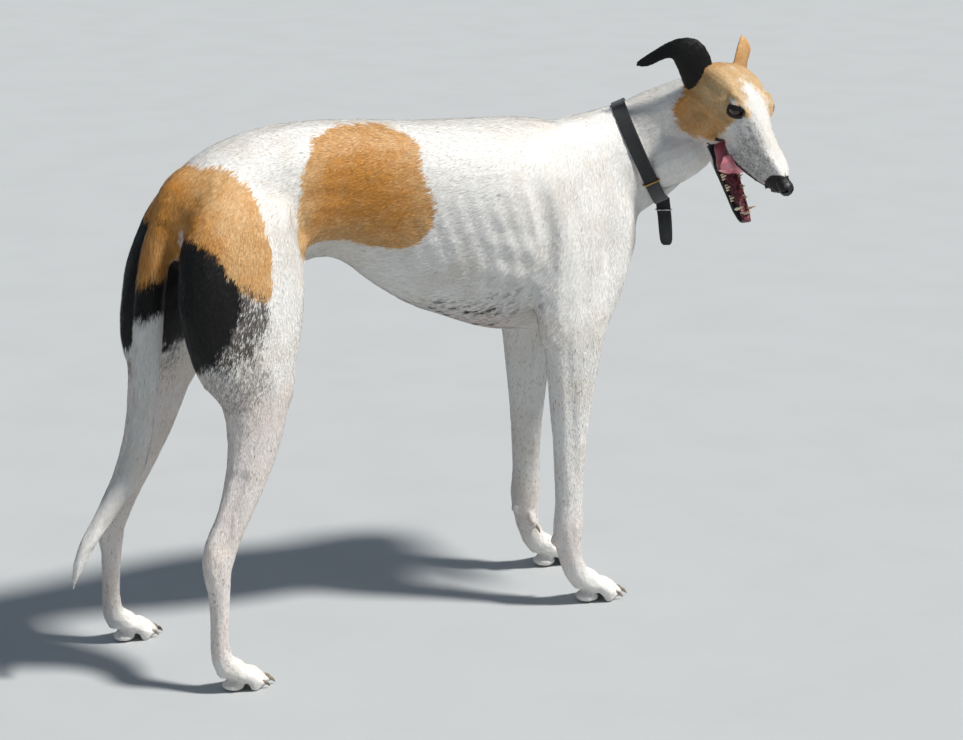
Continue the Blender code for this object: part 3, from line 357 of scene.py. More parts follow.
BODY_STROKES = (
    # The crease behind the shoulder, and the muscle edges round it
    (((0.128, -0.034, 0.635), (0.140, -0.036, 0.600), (0.155, -0.033, 0.545), (0.150, -0.030, 0.480)), 0.020, 3.4),
    (((0.168, -0.030, 0.640), (0.176, -0.038, 0.580), (0.176, -0.040, 0.510)), 0.024, -2.2),
    (((0.205, 0.000, 0.680), (0.222, -0.025, 0.640), (0.236, -0.035, 0.590), (0.232, -0.036, 0.545)), 0.016, 1.5),
    (((0.262, 0.000, 0.665), (0.290, -0.012, 0.620), (0.312, -0.012, 0.570)), 0.022, 1.9),
    (((0.212, -0.038, 0.560), (0.206, -0.044, 0.500), (0.196, -0.044, 0.440)), 0.016, 1.6),
    (((0.262, -0.032, 0.560), (0.250, -0.040, 0.500), (0.228, -0.042, 0.440)), 0.018, 1.3),
    # The loin beside the spine, and the flank's edge
    (((0.080, 0.040, 0.728), (-0.030, 0.038, 0.730), (-0.150, 0.036, 0.730), (-0.260, 0.036, 0.722)), 0.014, -1.0),
    (((-0.140, 0.000, 0.640), (-0.205, -0.014, 0.640), (-0.240, -0.034, 0.600), (-0.236, -0.052, 0.540)), 0.020, 2.0),
    (((-0.186, -0.006, 0.618), (-0.222, -0.030, 0.560), (-0.236, -0.056, 0.500)), 0.014, -1.6),
    # Hip bone, and the grooves between the bundles of the thigh
    (((-0.196, 0.010, 0.706), (-0.214, 0.000, 0.694), (-0.228, -0.008, 0.676)), 0.020, -3.0),
    (((-0.250, 0.000, 0.690), (-0.275, -0.040, 0.640), (-0.282, -0.058, 0.560), (-0.276, -0.070, 0.480)), 0.018, 1.5),
    (((-0.355, 0.010, 0.650), (-0.350, -0.035, 0.590), (-0.336, -0.062, 0.510), (-0.330, -0.066, 0.440)), 0.018, 2.4),
    (((-0.392, 0.026, 0.622), (-0.386, 0.000, 0.585), (-0.374, -0.030, 0.540)), 0.016, -1.8),
    (((-0.300, -0.070, 0.440), (-0.292, -0.074, 0.410), (-0.272, -0.074, 0.390)), 0.016, -1.4),
    # The heel tendon and the hollow before it, and the shin's front edge
    (((-0.352, -0.074, 0.330), (-0.362, -0.072, 0.280), (-0.372, -0.070, 0.228)), 0.012, 2.6),
    (((-0.340, -0.030, 0.330), (-0.356, -0.034, 0.280), (-0.370, -0.040, 0.228)), 0.012, 2.2),
    (((-0.290, -0.050, 0.360), (-0.318, -0.052, 0.300), (-0.345, -0.054, 0.240)), 0.009, -1.2),
    # Veins over the hock and the shin
    (((-0.300, -0.070, 0.350), (-0.322, -0.068, 0.310), (-0.338, -0.070, 0.270), (-0.362, -0.068, 0.236)), 0.006, -1.3),
    (((-0.338, -0.070, 0.270), (-0.350, -0.070, 0.250), (-0.352, -0.066, 0.220)), 0.005, -1.0),
)
FORELEG_STROKES = (
    (((0.176, -0.044, 0.400), (0.182, -0.044, 0.340), (0.190, -0.042, 0.260), (0.194, -0.040, 0.190)), 0.011, 1.7),
    (((0.216, -0.044, 0.400), (0.214, -0.044, 0.330), (0.208, -0.042, 0.250)), 0.010, 1.1),
    (((0.205, -0.004, 0.380), (0.203, -0.006, 0.300), (0.200, -0.008, 0.210)), 0.010, 1.4),
    (((0.240, -0.026, 0.400), (0.222, -0.024, 0.330), (0.214, -0.022, 0.250), (0.208, -0.022, 0.180)), 0.005, -1.0),
    (((0.192, -0.042, 0.134), (0.200, -0.042, 0.118), (0.204, -0.040, 0.096)), 0.010, -1.0),
)


def shape_body(points, normals):
    for route, reach, depth in BODY_STROKES:
        for one in both_sides(route):
            if one[0][2] < 0.45 and one is not route:
                one = [(x - 0.052 * ramp(np.array([0.56 - z]), 0, 0.22)[0], y, z) for x, y, z in one]
            stroke(points, normals, np.array(one), reach, depth)
    for route, reach, depth in FORELEG_STROKES:
        for one in both_sides(route, 0.027):
            stroke(points, normals, np.array(one), reach, depth)
    # Ribs: a wave along the chest, leaning back towards its foot, which fades out at the chest's edges
    x, y, z = points.T
    side = np.abs(y - MIDLINE)
    rib = np.sin(2 * pi * (x + 0.32 * (z - 0.55) + 0.006 * np.sin(34 * z)) / 0.027)
    where = ramp(x, -0.105, -0.03) * ramp(0.150 - x, 0, 0.03) * ramp(z, 0.445, 0.50) * ramp(0.645 - z, 0, 0.05)
    ripple = np.sin(2 * pi * (x * 0.35 + z) / 0.041 + 1.3) * ramp(x, 0.02, 0.08)
    lift = (0.55 * rib + 0.7 * ripple * ramp(0.60 - z, 0, 0.05)) * where * ramp(side, 0.035, 0.06)
    points += normals * (lift * MM)[:, None]


points, normals = points_of(body.data), normals_of(body.data)
shape_body(points, normals)
put_points(body.data, points)
soften(body.data, 2, np.full(len(points), 0.5))
print("strokes", 2 * (len(BODY_STROKES) + len(FORELEG_STROKES)))

# %% [markdown]
# ## The head's forms
# The same tool finds the cheek arch, the jaw muscle, the hollow before the eye, the whisker beds and the folds at
# the corner of the open mouth. Routes are given in the head's frame for its left side and mirrored.

# %% Strokes on the head
HEAD_STROKES = (
    (((0.026, 0.022, 0.004), (0.045, 0.0195, -0.006), (0.066, 0.0165, -0.014)), 0.010, 1.2),     # before the eye
    (((-0.014, 0.040, -0.006), (-0.040, 0.046, -0.010), (-0.062, 0.044, -0.012)), 0.008, -1.2),  # cheek arch
    (((-0.018, 0.038, 0.010), (-0.040, 0.040, 0.014), (-0.066, 0.034, 0.016)), 0.011, 1.8),      # temple
    (((-0.002, 0.018, 0.034), (-0.030, 0.012, 0.040), (-0.062, 0.006, 0.038)), 0.010, -0.8),     # skull's ridge
    (((0.024, 0.000, 0.024), (-0.006, 0.000, 0.036), (-0.050, 0.000, 0.040)), 0.010, 1.1),       # forehead groove
    (((-0.020, 0.043, -0.024), (-0.034, 0.041, -0.044), (-0.052, 0.037, -0.062)), 0.009, 1.0),   # jaw muscle
    (((0.006, 0.031, -0.020), (-0.010, 0.035, -0.026), (-0.024, 0.038, -0.036)), 0.007, 1.0),    # cheek
    (((0.024, 0.026, -0.032), (0.050, 0.022, -0.036), (0.080, 0.0185, -0.037)), 0.006, 0.8),     # lip's top
    (((0.092, 0.0165, -0.030), (0.101, 0.0150, -0.036), (0.109, 0.0120, -0.042)), 0.007, -0.8),  # whisker bed
    (((0.008, 0.026, -0.040), (0.000, 0.028, -0.046), (-0.010, 0.028, -0.054)), 0.004, 1.2),     # mouth's corner
    (((0.012, 0.027, -0.036), (0.000, 0.031, -0.041), (-0.013, 0.031, -0.050)), 0.004, -0.9),
    (((0.016, 0.0295, -0.0035), (0.006, 0.0375, -0.0045), (-0.010, 0.038, -0.002)), 0.005, 0.9), # under the eye
    (((0.022, 0.022, 0.022), (0.006, 0.033, 0.0265), (-0.012, 0.0375, 0.020)), 0.005, 0.9),      # over the eye
    (((0.026, 0.017, 0.024), (0.008, 0.029, 0.0325), (-0.012, 0.034, 0.027)), 0.006, -1.0),      # brow
)


def shape_head(points, normals):
    for route, reach, depth in HEAD_STROKES:
        for hand, _ in SIDES:
            placed = [tuple(HEAD @ Vector((x, hand * y, z))) for x, y, z in route]
            stroke(points, normals, np.array(placed), reach, depth)
            if route[0][1] == 0:
                break


points, normals = points_of(face.data), normals_of(face.data)
shape_head(points, normals)
put_points(face.data, points)
soften(face.data, 2, np.full(len(points), 0.4))
print("head strokes", len(HEAD_STROKES))

# %% [markdown]
# ## One skin
# The skin has to lie inside the solids by the depth of the coat, so every point is drawn in along its normal, by
# 1.5 mm on the trunk and less on the legs, the face and the ears. Both meshes are then thinned where they are flat,
# cut at the collar and joined.

# %% Depth of the coat
BODY_FACES, HEAD_FACES = ((112000, 78000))


def draw_in(mesh, depth):
    put_points(mesh, points_of(mesh) - normals_of(mesh) * (depth * MM)[:, None])


def thin_out(made, faces):
    made.data.calc_loop_triangles()
    return modified(made, "DECIMATE", ratio=faces / len(made.data.loop_triangles))


at = points_of(body.data)
draw_in(body.data, 0.9 + 1.0 * ramp(at[:, 2], 0.10, 0.45))
at = into(HEAD, points_of(face.data))
on_neck = ramp(-at[:, 0], 0.085, 0.12)
draw_in(face.data, (0.95 + 0.95 * on_neck) * (1 - 0.5 * ear_share(points_of(face.data))))
thin_out(body, BODY_FACES)
thin_out(face, HEAD_FACES)
print("thinned to", len(body.data.polygons), len(face.data.polygons))

# %% [markdown]
# ## Lids
# Each lid is a thin shell over the eyeball. A sphere a little larger than the eye is joined to the skin, an
# almond cuts the opening, and the eyeball's own space is cut from behind it, so the rim has a true thickness.

# %% Lids and sockets
EYE_AT = {hand: HEAD @ Vector((0.0060, hand * 0.0290, 0.0125)) for hand, _ in SIDES}
EYE_RADIUS = 0.0108
LID_THICK = 0.0017
EYE_TURN, EYE_SLANT = radians(40), radians(-14)


def eye_frame(hand):
    """x looks out of the eye, y runs along its opening and z is up."""
    turned = HEAD.to_3x3() @ Matrix.Rotation(hand * EYE_TURN, 3, "Z") @ Matrix.Rotation(hand * EYE_SLANT, 3, "X")
    return Matrix.Translation(EYE_AT[hand]) @ turned.to_4x4()


def almond(hand):
    """A lens-shaped prism whose outline is the opening between the lids."""
    bm = bmesh.new()
    ring = bmesh.ops.create_circle(bm, cap_ends=True, segments=48, radius=1)["verts"]
    for number, vert in enumerate(ring):
        angle = 2 * pi * number / len(ring)
        out, up = cos(angle), sin(angle)
        height = 0.0058 if up > 0 else 0.0046
        vert.co = (0.001, 0.0107 * out, height * up * (1 - 0.30 * out * out) - 0.0004 * out * hand)
    grown = bmesh.ops.extrude_face_region(bm, geom=bm.faces[:])["geom"]
    bmesh.ops.translate(bm, verts=[g for g in grown if isinstance(g, bmesh.types.BMVert)], vec=(0.03, 0, 0))
    bmesh.ops.recalc_face_normals(bm, faces=bm.faces)
    bmesh.ops.transform(bm, verts=bm.verts, matrix=eye_frame(hand))
    return as_object(bm, "almond")


def ball(place, radius, segments=48):
    bm = bmesh.new()
    bmesh.ops.create_uvsphere(bm, u_segments=segments, v_segments=segments // 2, radius=radius, matrix=place)
    return as_object(bm, "ball")


for hand, _ in SIDES:
    combine(face, ball(eye_frame(hand), EYE_RADIUS + LID_THICK), "UNION")
    away = points_of(face.data) - np.array(EYE_AT[hand])
    gap = np.linalg.norm(away, axis=1)
    soften(face.data, 0, ramp(gap, EYE_RADIUS + 0.3 * MM, EYE_RADIUS + 1.6 * MM) * ramp(-gap, -0.021, -0.015), 10)
    combine(face, almond(hand), "DIFFERENCE")
    combine(face, ball(eye_frame(hand), EYE_RADIUS + 0.15 * MM), "DIFFERENCE")
print("lids cut", len(face.data.polygons), "faces")

# %% Joining body and head at the collar
OVERLAP = 1.5 * MM
combine(body, box_in(COLLAR, (OVERLAP, -0.4, -0.4), (0.8, 0.4, 0.4)), "DIFFERENCE")
combine(face, box_in(COLLAR, (-0.8, -0.4, -0.4), (-OVERLAP, 0.4, 0.4)), "DIFFERENCE")
skin = combine(body, face, "UNION")
skin.name = skin.data.name = "skin"
for polygon in skin.data.polygons:
    polygon.use_smooth = True
print("skin", len(skin.data.polygons), "faces")

# %% [markdown]
# ## The lie of the coat
# Hair grows away from the nose, back over the skull and the neck, back and down along the trunk, and down the
# legs. Each solid gives its points a direction, and rounds of averaging turn one into the next. What each point
# stands on is read from the nearest solid.

# %% Which solid, and which way the hair lies
POINTS = points_of(skin.data)
NORMALS = normals_of(skin.data)
EDGES = edges_of(skin.data)


def nearest_solid(points):
    """The index in FLESH of the solid that is nearest each point."""
    corners, faces, owner = [], [], []
    for number, node in enumerate(FLESH):
        start = len(corners)
        corners += [vert.co[:] for vert in NODES[node].data.vertices]
        faces += [[start + index for index in face.vertices] for face in NODES[node].data.polygons]
        owner += [number] * len(NODES[node].data.polygons)
    tree = BVHTree.FromPolygons(corners, faces)
    return np.array([owner[tree.find_nearest(point)[2]] for point in points.tolist()])


OWNER = nearest_solid(POINTS)


def on(*names):
    """1 on the points of the solids whose names start so."""
    found = [number for number, node in enumerate(FLESH) if node.startswith(names)]
    return np.isin(OWNER, found).astype(float)


def turned(matrix, way):
    return np.array(matrix.to_3x3() @ Vector(way).normalized())


EAR_LINE = [(-0.076, 0.038, 0.009), (-0.088, 0.043, 0.0275), (-0.101, 0.053, 0.041), (-0.114, 0.068, 0.033),
            (-0.124, 0.086, 0.014), (-0.131, 0.104, 0.002)]
TAIL_LINE = [(-0.383, MIDLINE, 0.612), (-0.407, MIDLINE, 0.49), (-0.415, MIDLINE, 0.368), (-0.449, MIDLINE, 0.275),
             (-0.512, MIDLINE, 0.186), (-0.531, MIDLINE, 0.134)]


def way_along(points, route):
    """The direction of the nearest stretch of a route."""
    _, along = to_route(points, route)
    ways = np.diff(np.array(route, float), axis=0)
    ways /= np.linalg.norm(ways, axis=1)[:, None]
    return ways[np.minimum((along * len(ways)).astype(int), len(ways) - 1)]


def lie():
    x, y, z = POINTS.T
    way = np.zeros_like(POINTS)
    front = ramp(x, 0.02, 0.26)[:, None]
    rump = ramp(-x, 0.24, 0.34)[:, None]
    trunk = np.array((-0.96, 0, -0.30)) * (1 - front) + np.array((-0.45, 0, -0.9)) * front
    trunk = trunk * (1 - rump) + np.array((-0.5, 0, -0.86)) * rump
    chest = ramp(x, 0.29, 0.32)[:, None]
    trunk = trunk * (1 - chest) + np.array((-0.1, 0, -1.0)) * chest
    spine = ramp(z, 0.695, 0.722)[:, None] * (1 - rump)
    trunk = trunk * (1 - spine) + np.array((-1.0, 0, 0)) * spine
    way += on("torso")[:, None] * trunk
    for names, base in ((("neck_lower",), (-0.80, 0.05, -0.55)), (("neck_upper",), (-0.62, 0.55, -0.50)),
                        (("thigh",), (-0.35, 0, -0.94)), (("lower_thigh",), (-0.30, 0, -0.95)),
                        (("hind_pastern", "fore_pastern"), (0.06, 0, -1)), (("forearm",), (-0.06, 0, -1)),
                        (("fore_paw", "hind_paw"), (0.80, 0, -0.60))):
        way += on(*names)[:, None] * np.array(base)
    way += on("head")[:, None] * turned(HEAD, (-1, 0, 0.05))
    way += on("lower_jaw")[:, None] * turned(JAW, (-1, 0, 0))
    for hand, word in SIDES:
        line = [tuple(HEAD @ Vector((a, hand * b, c))) for a, b, c in EAR_LINE]
        way += on("ear_" + word)[:, None] * way_along(POINTS, line)
    way += on("tail")[:, None] * way_along(POINTS, TAIL_LINE)
    way = spread(way, EDGES, 30)
    way -= NORMALS * (way * NORMALS).sum(1)[:, None]
    return way / np.maximum(np.linalg.norm(way, axis=1), 1e-6)[:, None]


LIE = lie()
print("solids told apart", len(set(OWNER.tolist())))

# %% [markdown]
# ## Markings
# The patches are drawn as outlines seen from the side, in metres, and kept on the skin as the distance to their
# edge. The material turns that distance into a ragged edge, finer than the mesh, so skin and coat agree.

# %% Outlines of the patches
SADDLE = [(-0.177, 0.716), (-0.133, 0.722), (-0.079, 0.720), (-0.047, 0.712), (-0.024, 0.691), (-0.037, 0.668),
          (-0.028, 0.640), (-0.020, 0.614), (-0.022, 0.587), (-0.036, 0.560), (-0.074, 0.556), (-0.134, 0.570),
          (-0.173, 0.576), (-0.222, 0.560), (-0.232, 0.585), (-0.217, 0.606), (-0.214, 0.640), (-0.208, 0.678),
          (-0.188, 0.700)]
LEFT_SADDLE = [(-0.150, 0.700), (-0.085, 0.712), (-0.060, 0.690), (-0.050, 0.640), (-0.072, 0.600), (-0.120, 0.590),
               (-0.160, 0.615), (-0.172, 0.660)]
RUMP = [(-0.350, 0.688), (-0.324, 0.690), (-0.304, 0.685), (-0.290, 0.668), (-0.282, 0.638), (-0.279, 0.601),
        (-0.278, 0.576), (-0.281, 0.551), (-0.287, 0.528), (-0.310, 0.528), (-0.335, 0.545), (-0.350, 0.565),
        (-0.366, 0.585), (-0.392, 0.612), (-0.440, 0.610), (-0.440, 0.700), (-0.380, 0.700)]
BLACK = [(-0.440, 0.624), (-0.394, 0.622), (-0.364, 0.600), (-0.344, 0.572), (-0.330, 0.548), (-0.330, 0.515),
         (-0.346, 0.490), (-0.358, 0.468), (-0.376, 0.446), (-0.392, 0.420), (-0.440, 0.360)]
ROAN = [(-0.360, 0.568), (-0.300, 0.536), (-0.284, 0.524), (-0.289, 0.500), (-0.302, 0.472), (-0.318, 0.455),
        (-0.345, 0.440), (-0.380, 0.440)]
HEAD_FAWN = [(-0.125, 0.070), (0.030, 0.070), (0.032, 0.020), (0.024, 0.0105), (0.015, -0.004), (0.010, -0.024),
             (0.000, -0.044), (-0.028, -0.061), (-0.050, -0.062), (-0.062, -0.050), (-0.070, -0.030),
             (-0.084, -0.010), (-0.096, 0.004), (-0.125, 0.015)]


def inside(first, second, outline):
    """How far each point is inside an outline, in millimetres, and below zero outside it."""
    best = np.full(len(first), 1e9)
    within = np.zeros(len(first), bool)
    for (a, b), (c, d) in zip(outline, outline[1:] + outline[:1]):
        run, rise = c - a, d - b
        share = np.clip(((first - a) * run + (second - b) * rise) / (run * run + rise * rise), 0, 1)
        best = np.minimum(best, np.hypot(first - a - share * run, second - b - share * rise))
        crosses = (b > second) != (d > second)
        with np.errstate(divide="ignore", invalid="ignore"):
            within ^= crosses & (first < run * (second - b) / (rise if rise else 1e-12) + a)
    return np.where(within, best, -best) / MM


def blob(points, centre, radii):
    """Millimetres inside an egg, roughly, and below zero outside it."""
    share = np.linalg.norm((points - np.array(centre)) / np.array(radii), axis=1)
    return (1 - share) * min(radii) / MM


LIP_DROP = 0.009


def unhung(at):
    """Places in the head's frame, as they would be if the upper lips were not hanging."""
    made = at.copy()
    for _ in range(6):
        share = (ramp(-made[:, 2], 0.026, 0.0445) * ramp(at[:, 0], 0.006, 0.036) * ramp(0.134 - at[:, 0], 0, 0.014))
        made[:, 2] = at[:, 2] + LIP_DROP * share
    return made


def markings():
    x, y, z = POINTS.T
    at = unhung(into(HEAD, POINTS))
    in_jaw = into(JAW, POINTS)
    right = y < MIDLINE
    trunk = on("torso", "thigh", "lower_thigh", "tail_root") > 0
    legs_back = 0.052 * ramp(0.56 - z, 0, 0.22) * ~right
    back = x + legs_back
    fawn = np.where(right, inside(x, z, SADDLE), inside(x, z, LEFT_SADDLE))
    fawn = np.maximum(fawn, inside(back, z, RUMP))
    fawn = np.where(trunk, fawn, -99.0)
    black = np.where(trunk, inside(back, z, BLACK), -99.0)
    roan = np.where(trunk, ramp(inside(back, z, ROAN), -7, 6), 0.0)
    # The inner thighs are dark, partly black hair and partly painted shade between the legs, and the vent is bare and
    # pale.
    inner = trunk & (x < -0.28) & (z < 0.575) & (z > 0.36)
    near_tail = np.abs(y - MIDLINE)
    black = np.where(inner, np.maximum(black, np.minimum((0.052 - near_tail) / MM, (z - 0.37) / MM)), black)
    vent = blob(POINTS, (-0.392, MIDLINE - 0.030, 0.585), (0.030, 0.016, 0.030))
    vent = np.maximum(vent, blob(POINTS, (-0.392, MIDLINE + 0.030, 0.585), (0.030, 0.016, 0.030)))
    vent = np.where(on("torso") > 0, vent, -99.0)
    fawn, black = np.minimum(fawn, -vent), np.minimum(black, -vent)
    # Tail: brown to where the fringe ends, a dark ring, then white
    tail = on("tail") > 0
    fawn = np.where(tail, np.minimum((z - 0.540) / MM, 60), fawn)
    black = np.where(tail, np.minimum((z - 0.500) / MM, (0.548 - z) / MM), black)
    # Head
    skull = on("head") > 0
    neck = on("neck_upper") > 0
    side = inside(at[:, 0], at[:, 2], HEAD_FAWN)
    half = 0.0235 * ramp(at[:, 0], -0.046, 0.010) - 0.004
    blaze = 0.30 * (np.abs(at[:, 1] + 0.001) - half) / MM
    face_fawn = np.minimum(0.6 * side, blaze)
    brow = blob(at * (1, 0, 1) + np.abs(at) * (0, 1, 0), (-0.004, 0.0385, 0.0215), (0.011, 0.009, 0.0034))
    face_fawn = np.minimum(face_fawn, -1.5 * brow)
    fawn = np.where(skull | neck, face_fawn, fawn)
    for hand, word in SIDES:
        ear = on("ear_" + word) > 0
        fawn = np.where(ear, 30.0, fawn)
        black = np.where(ear, -8.0 if hand > 0 else 40.0, black)
    # Rims of the lids, widened by painted shade round the eyes, the tear mark, the lips and what surrounds the nose
    dark = np.full(len(POINTS), -99.0)
    for hand, _ in SIDES:
        seen = into(eye_frame(hand), POINTS)
        gap = np.linalg.norm(seen, axis=1)
        # The dark rim is partly the lids' own dark skin and partly painted shade round the eye
        rim = (1 - np.hypot(seen[:, 1] / 0.0148, seen[:, 2] / 0.0098)) * 8.0
        dark = np.where((gap < 0.0185) & (seen[:, 0] > 0), np.maximum(dark, rim + 0.6), dark)
        tear, _ = to_route(at, [(0.015, hand * 0.0235, 0.009), (0.023, hand * 0.0215, 0.001),
                                (0.030, hand * 0.0205, -0.008)])
        dark = np.maximum(dark, (0.0036 - tear) / MM)
        corner, _ = to_route(at, [(-0.004, hand * 0.040, 0.0150), (-0.014, hand * 0.042, 0.0165)])
        dark = np.maximum(dark, (0.0018 - corner) / MM)
    dark = np.maximum(dark, blob(at, (0.119, 0, -0.036), (0.022, 0.030, 0.0165)))
    upper_lip = (skull & (at[:, 0] > 0.0)) * 1.0
    dark = np.where(upper_lip > 0, np.maximum(dark, (-0.0392 - at[:, 2]) / MM), dark)
    jaw = on("lower_jaw") > 0
    lip_foot = np.interp(in_jaw[:, 0], (-0.020, 0.020, 0.045, 0.115), (0.0530, 0.0550, 0.0635, 0.0620))
    dark = np.where(jaw & (in_jaw[:, 0] > -0.02), np.maximum(dark, (in_jaw[:, 2] + lip_foot) / MM), dark)
    # Inside of the mouth
    flesh = np.full(len(POINTS), -99.0)
    down = NORMALS @ turned(HEAD, (0, 0, -1))
    up = NORMALS @ turned(JAW, (0, 0, 1))
    width = np.interp(at[:, 0], (-0.012, 0.020, 0.060, 0.096, 0.112), (0.013, 0.017, 0.0135, 0.009, 0.006))
    roof = (width - np.abs(at[:, 1])) / MM
    flesh = np.where(skull & (down > 0.05) & (np.abs(at[:, 2] + 0.0465) < 0.0135) & (at[:, 0] < 0.112), roof, flesh)
    width = np.interp(in_jaw[:, 0], (-0.020, 0.015, 0.050, 0.085, 0.106), (0.015, 0.0175, 0.0145, 0.0115, 0.008))
    floor = (width - np.abs(in_jaw[:, 1])) / MM
    in_mouth = jaw & (up > 0.05) & (in_jaw[:, 2] > -0.058) & (in_jaw[:, 0] > -0.008)
    flesh = np.where(in_mouth, np.maximum(flesh, floor + 0.5), flesh)
    inside_mouth = (skull | jaw) & (at[:, 2] < -0.030) & (np.abs(at[:, 1]) < 0.016) & (down < 0.05) & (up < 0.05)
    flesh = np.where(inside_mouth & (in_jaw[:, 2] > -0.058) & (np.abs(at[:, 0] - 0.048) < 0.052), 4.0, flesh)
    # Ticking: thin on the legs, the muzzle and the thigh, close on the belly
    belly = ramp(0.185 - x, 0, 0.07) * (on("torso") > 0)
    under = ramp(0.505 - z, 0, 0.06) * ramp(x, -0.20, -0.10) * belly
    tick = 0.10 * np.ones(len(POINTS))
    tick = np.maximum(tick, 0.75 * under)
    tick = np.maximum(tick, 0.40 * on("forearm", "fore_pastern", "hind_pastern"))
    tick = np.maximum(tick, 0.28 * on("lower_thigh"))
    streaks = blob(np.stack([back, z], 1), (-0.335, 0.425), (0.045, 0.050))
    tick = np.maximum(tick, 0.95 * ramp(streaks, -10, 12) * trunk)
    tick = np.maximum(tick, 0.85 * skull * ramp(at[:, 0], 0.004, 0.045) * ramp(np.abs(at[:, 1]), 0.004, 0.016))
    spot = ramp(0.490 - z, 0, 0.04) * ramp(x, -0.16, -0.06) * ramp(0.17 - x, 0, 0.05) * (on("torso") > 0)
    # Where the skin shows through
    bare = 0.9 * ramp(vent, -6, 4)
    bare = np.maximum(bare, 0.55 * ramp(0.45 - z, 0, 0.03) * belly)
    bare = np.maximum(bare, 0.30 * on("hind_pastern", "lower_thigh", "fore_pastern"))
    bare = np.maximum(bare, 0.35 * skull * ramp(-at[:, 2], 0.026, 0.042))
    # Deeper or paler fawn
    deep = 0.5 + 0.5 * ramp(inside(x, z, SADDLE), 5, 50) - 0.75 * ramp(-x, 0.198, 0.222) * (x > -0.25)
    deep = np.where(back < -0.27, 0.45 + 0.55 * ramp(-back, 0.33, 0.38), deep)
    deep = np.where(tail, 0.85, deep)
    cheek = ramp(-at[:, 2], -0.010, 0.020)
    deep = np.where(skull | neck, 0.02 + 0.52 * cheek + 0.45 * ramp(-at[:, 0], 0.045, 0.075), deep)
    values = {"fawn": fawn, "black": np.maximum(black, -99), "dark": dark, "flesh": flesh, "roan": roan,
              "tick": tick, "spot": spot, "bare": bare, "deep": np.clip(deep, 0, 1)}
    for name in ("roan", "tick", "spot", "bare", "deep"):
        values[name] = spread(values[name], EDGES, 6)
    for name in ("fawn", "black", "dark", "flesh"):
        values[name] = spread(np.clip(values[name], -40, 40), EDGES, 1)
    return values


MARKS = markings()


def keep(mesh, values):
    """Stores a value for each point under its name."""
    for name, numbers in values.items():
        held = mesh.attributes.new(name, "FLOAT", "POINT")
        held.data.foreach_set("value", np.asarray(numbers, np.float32))


keep(skin.data, MARKS)
print("marks", sorted(MARKS))

# %% [markdown]
# ## Materials
# The coat has hair of four colours, and its patches have ragged edges where hairs of one colour lie over the
# other. Skin and hair take the same colour from the same marks, so nothing shows where a tuft is thin. Sizes in the
# patterns are real ones, in millimetres.


# %% Colours and nodes
def colour(code):
    """A hex sRGB colour, turned linear."""
    parts = [int(code[start:start + 2], 16) / 255 for start in (1, 3, 5)]
    return (*(c / 12.92 if c <= 0.04045 else ((c + 0.055) / 1.055) ** 2.4 for c in parts), 1.0)


def add(tree, kind, inputs=None, out=0, **settings):
    """Adds a node, sets it, fills its inputs with values or links, and returns one of its outputs."""
    made = tree.nodes.new("ShaderNode" + kind)
    for key, value in settings.items():
        setattr(made, key, value)
    for key, value in (inputs or {}).items():
        if isinstance(value, bpy.types.NodeSocket):
            tree.links.new(value, made.inputs[key])
        else:
            made.inputs[key].default_value = value
    return made.outputs[out]


def maths(tree, operation, first, second=0.0, **settings):
    return add(tree, "Math", {0: first, 1: second}, operation=operation, **settings)


def blend(tree, share, first, second, way="MIX"):
    """Between two colours."""
    return add(tree, "Mix", {0: share, 6: first, 7: second}, out=2, data_type="RGBA", blend_type=way)


def noise(tree, where, size, detail=2.0, rough=0.5):
    """Cloudy noise whose features are about so many millimetres across, from 0 to 1."""
    return add(tree, "TexNoise", {"Vector": where, "Scale": 1 / (size * MM), "Detail": detail, "Roughness": rough})


def between(tree, value, low, high, start=0.0, end=1.0):
    """A smooth turn from start to end as the value goes from low to high."""
    return add(tree, "MapRange", {"Value": value, "From Min": low, "From Max": high, "To Min": start,
                                  "To Max": end}, interpolation_type="SMOOTHSTEP")


def mark(tree, name):
    """A value that the mesh keeps at its points."""
    return add(tree, "Attribute", out=2, attribute_name=name)


def bumped(tree, height, depth, normal=None):
    """A normal for a relief so many millimetres deep."""
    inputs = {"Height": height, "Distance": depth * MM, "Strength": 1.0}
    if normal:
        inputs["Normal"] = normal
    return add(tree, "Bump", inputs)


def new_material(name):
    made = bpy.data.materials.new(name)
    made.use_nodes = True
    tree = made.node_tree
    shader = tree.nodes["Principled BSDF"]
    return made, tree, shader


def dress(tree, shader, **inputs):
    """Fills the shader. Two underscores stand for a space in the name of an input."""
    for key, value in inputs.items():
        socket = shader.inputs[key.replace("_", " ")]
        if isinstance(value, bpy.types.NodeSocket):
            tree.links.new(value, socket)
        else:
            socket.default_value = value


print("node tools ready")

# %% [markdown]
# ## Hair and skin
# Streaks follow the lie of the coat: the same stretched noise is laid along five directions of the body, and each
# point takes the one that its hair follows.

# %% Colour of the coat
WHITE, CREAM = colour("#F2F0EC"), colour("#E3DBCE")
PALE_FAWN, RICH_FAWN = colour("#E2C292"), colour("#CE8E40")
TAIL_BROWN = colour("#7A5631")
BLACK_HAIR, DARK_HAIR, GREY_HAIR = colour("#0C0A09"), colour("#3A2F27"), colour("#736A63")
BARE_SKIN, DARK_SKIN = colour("#D8A79B"), colour("#141110")
# Inside of the mouth: gum pink mottled with dark pigment, both darkened as painted shade
SHADED_MOUTH, SHADED_DARK_GUM = colour("#9A545B"), colour("#4E2429")
WAYS = ((-0.95, 0.0, -0.31), (0.0, 0.0, -1.0), (-0.62, 0.55, -0.50), (-0.40, 0.0, -0.92), (0.80, 0.0, -0.60),
        tuple(turned(HEAD, (-1, 0, 0))))


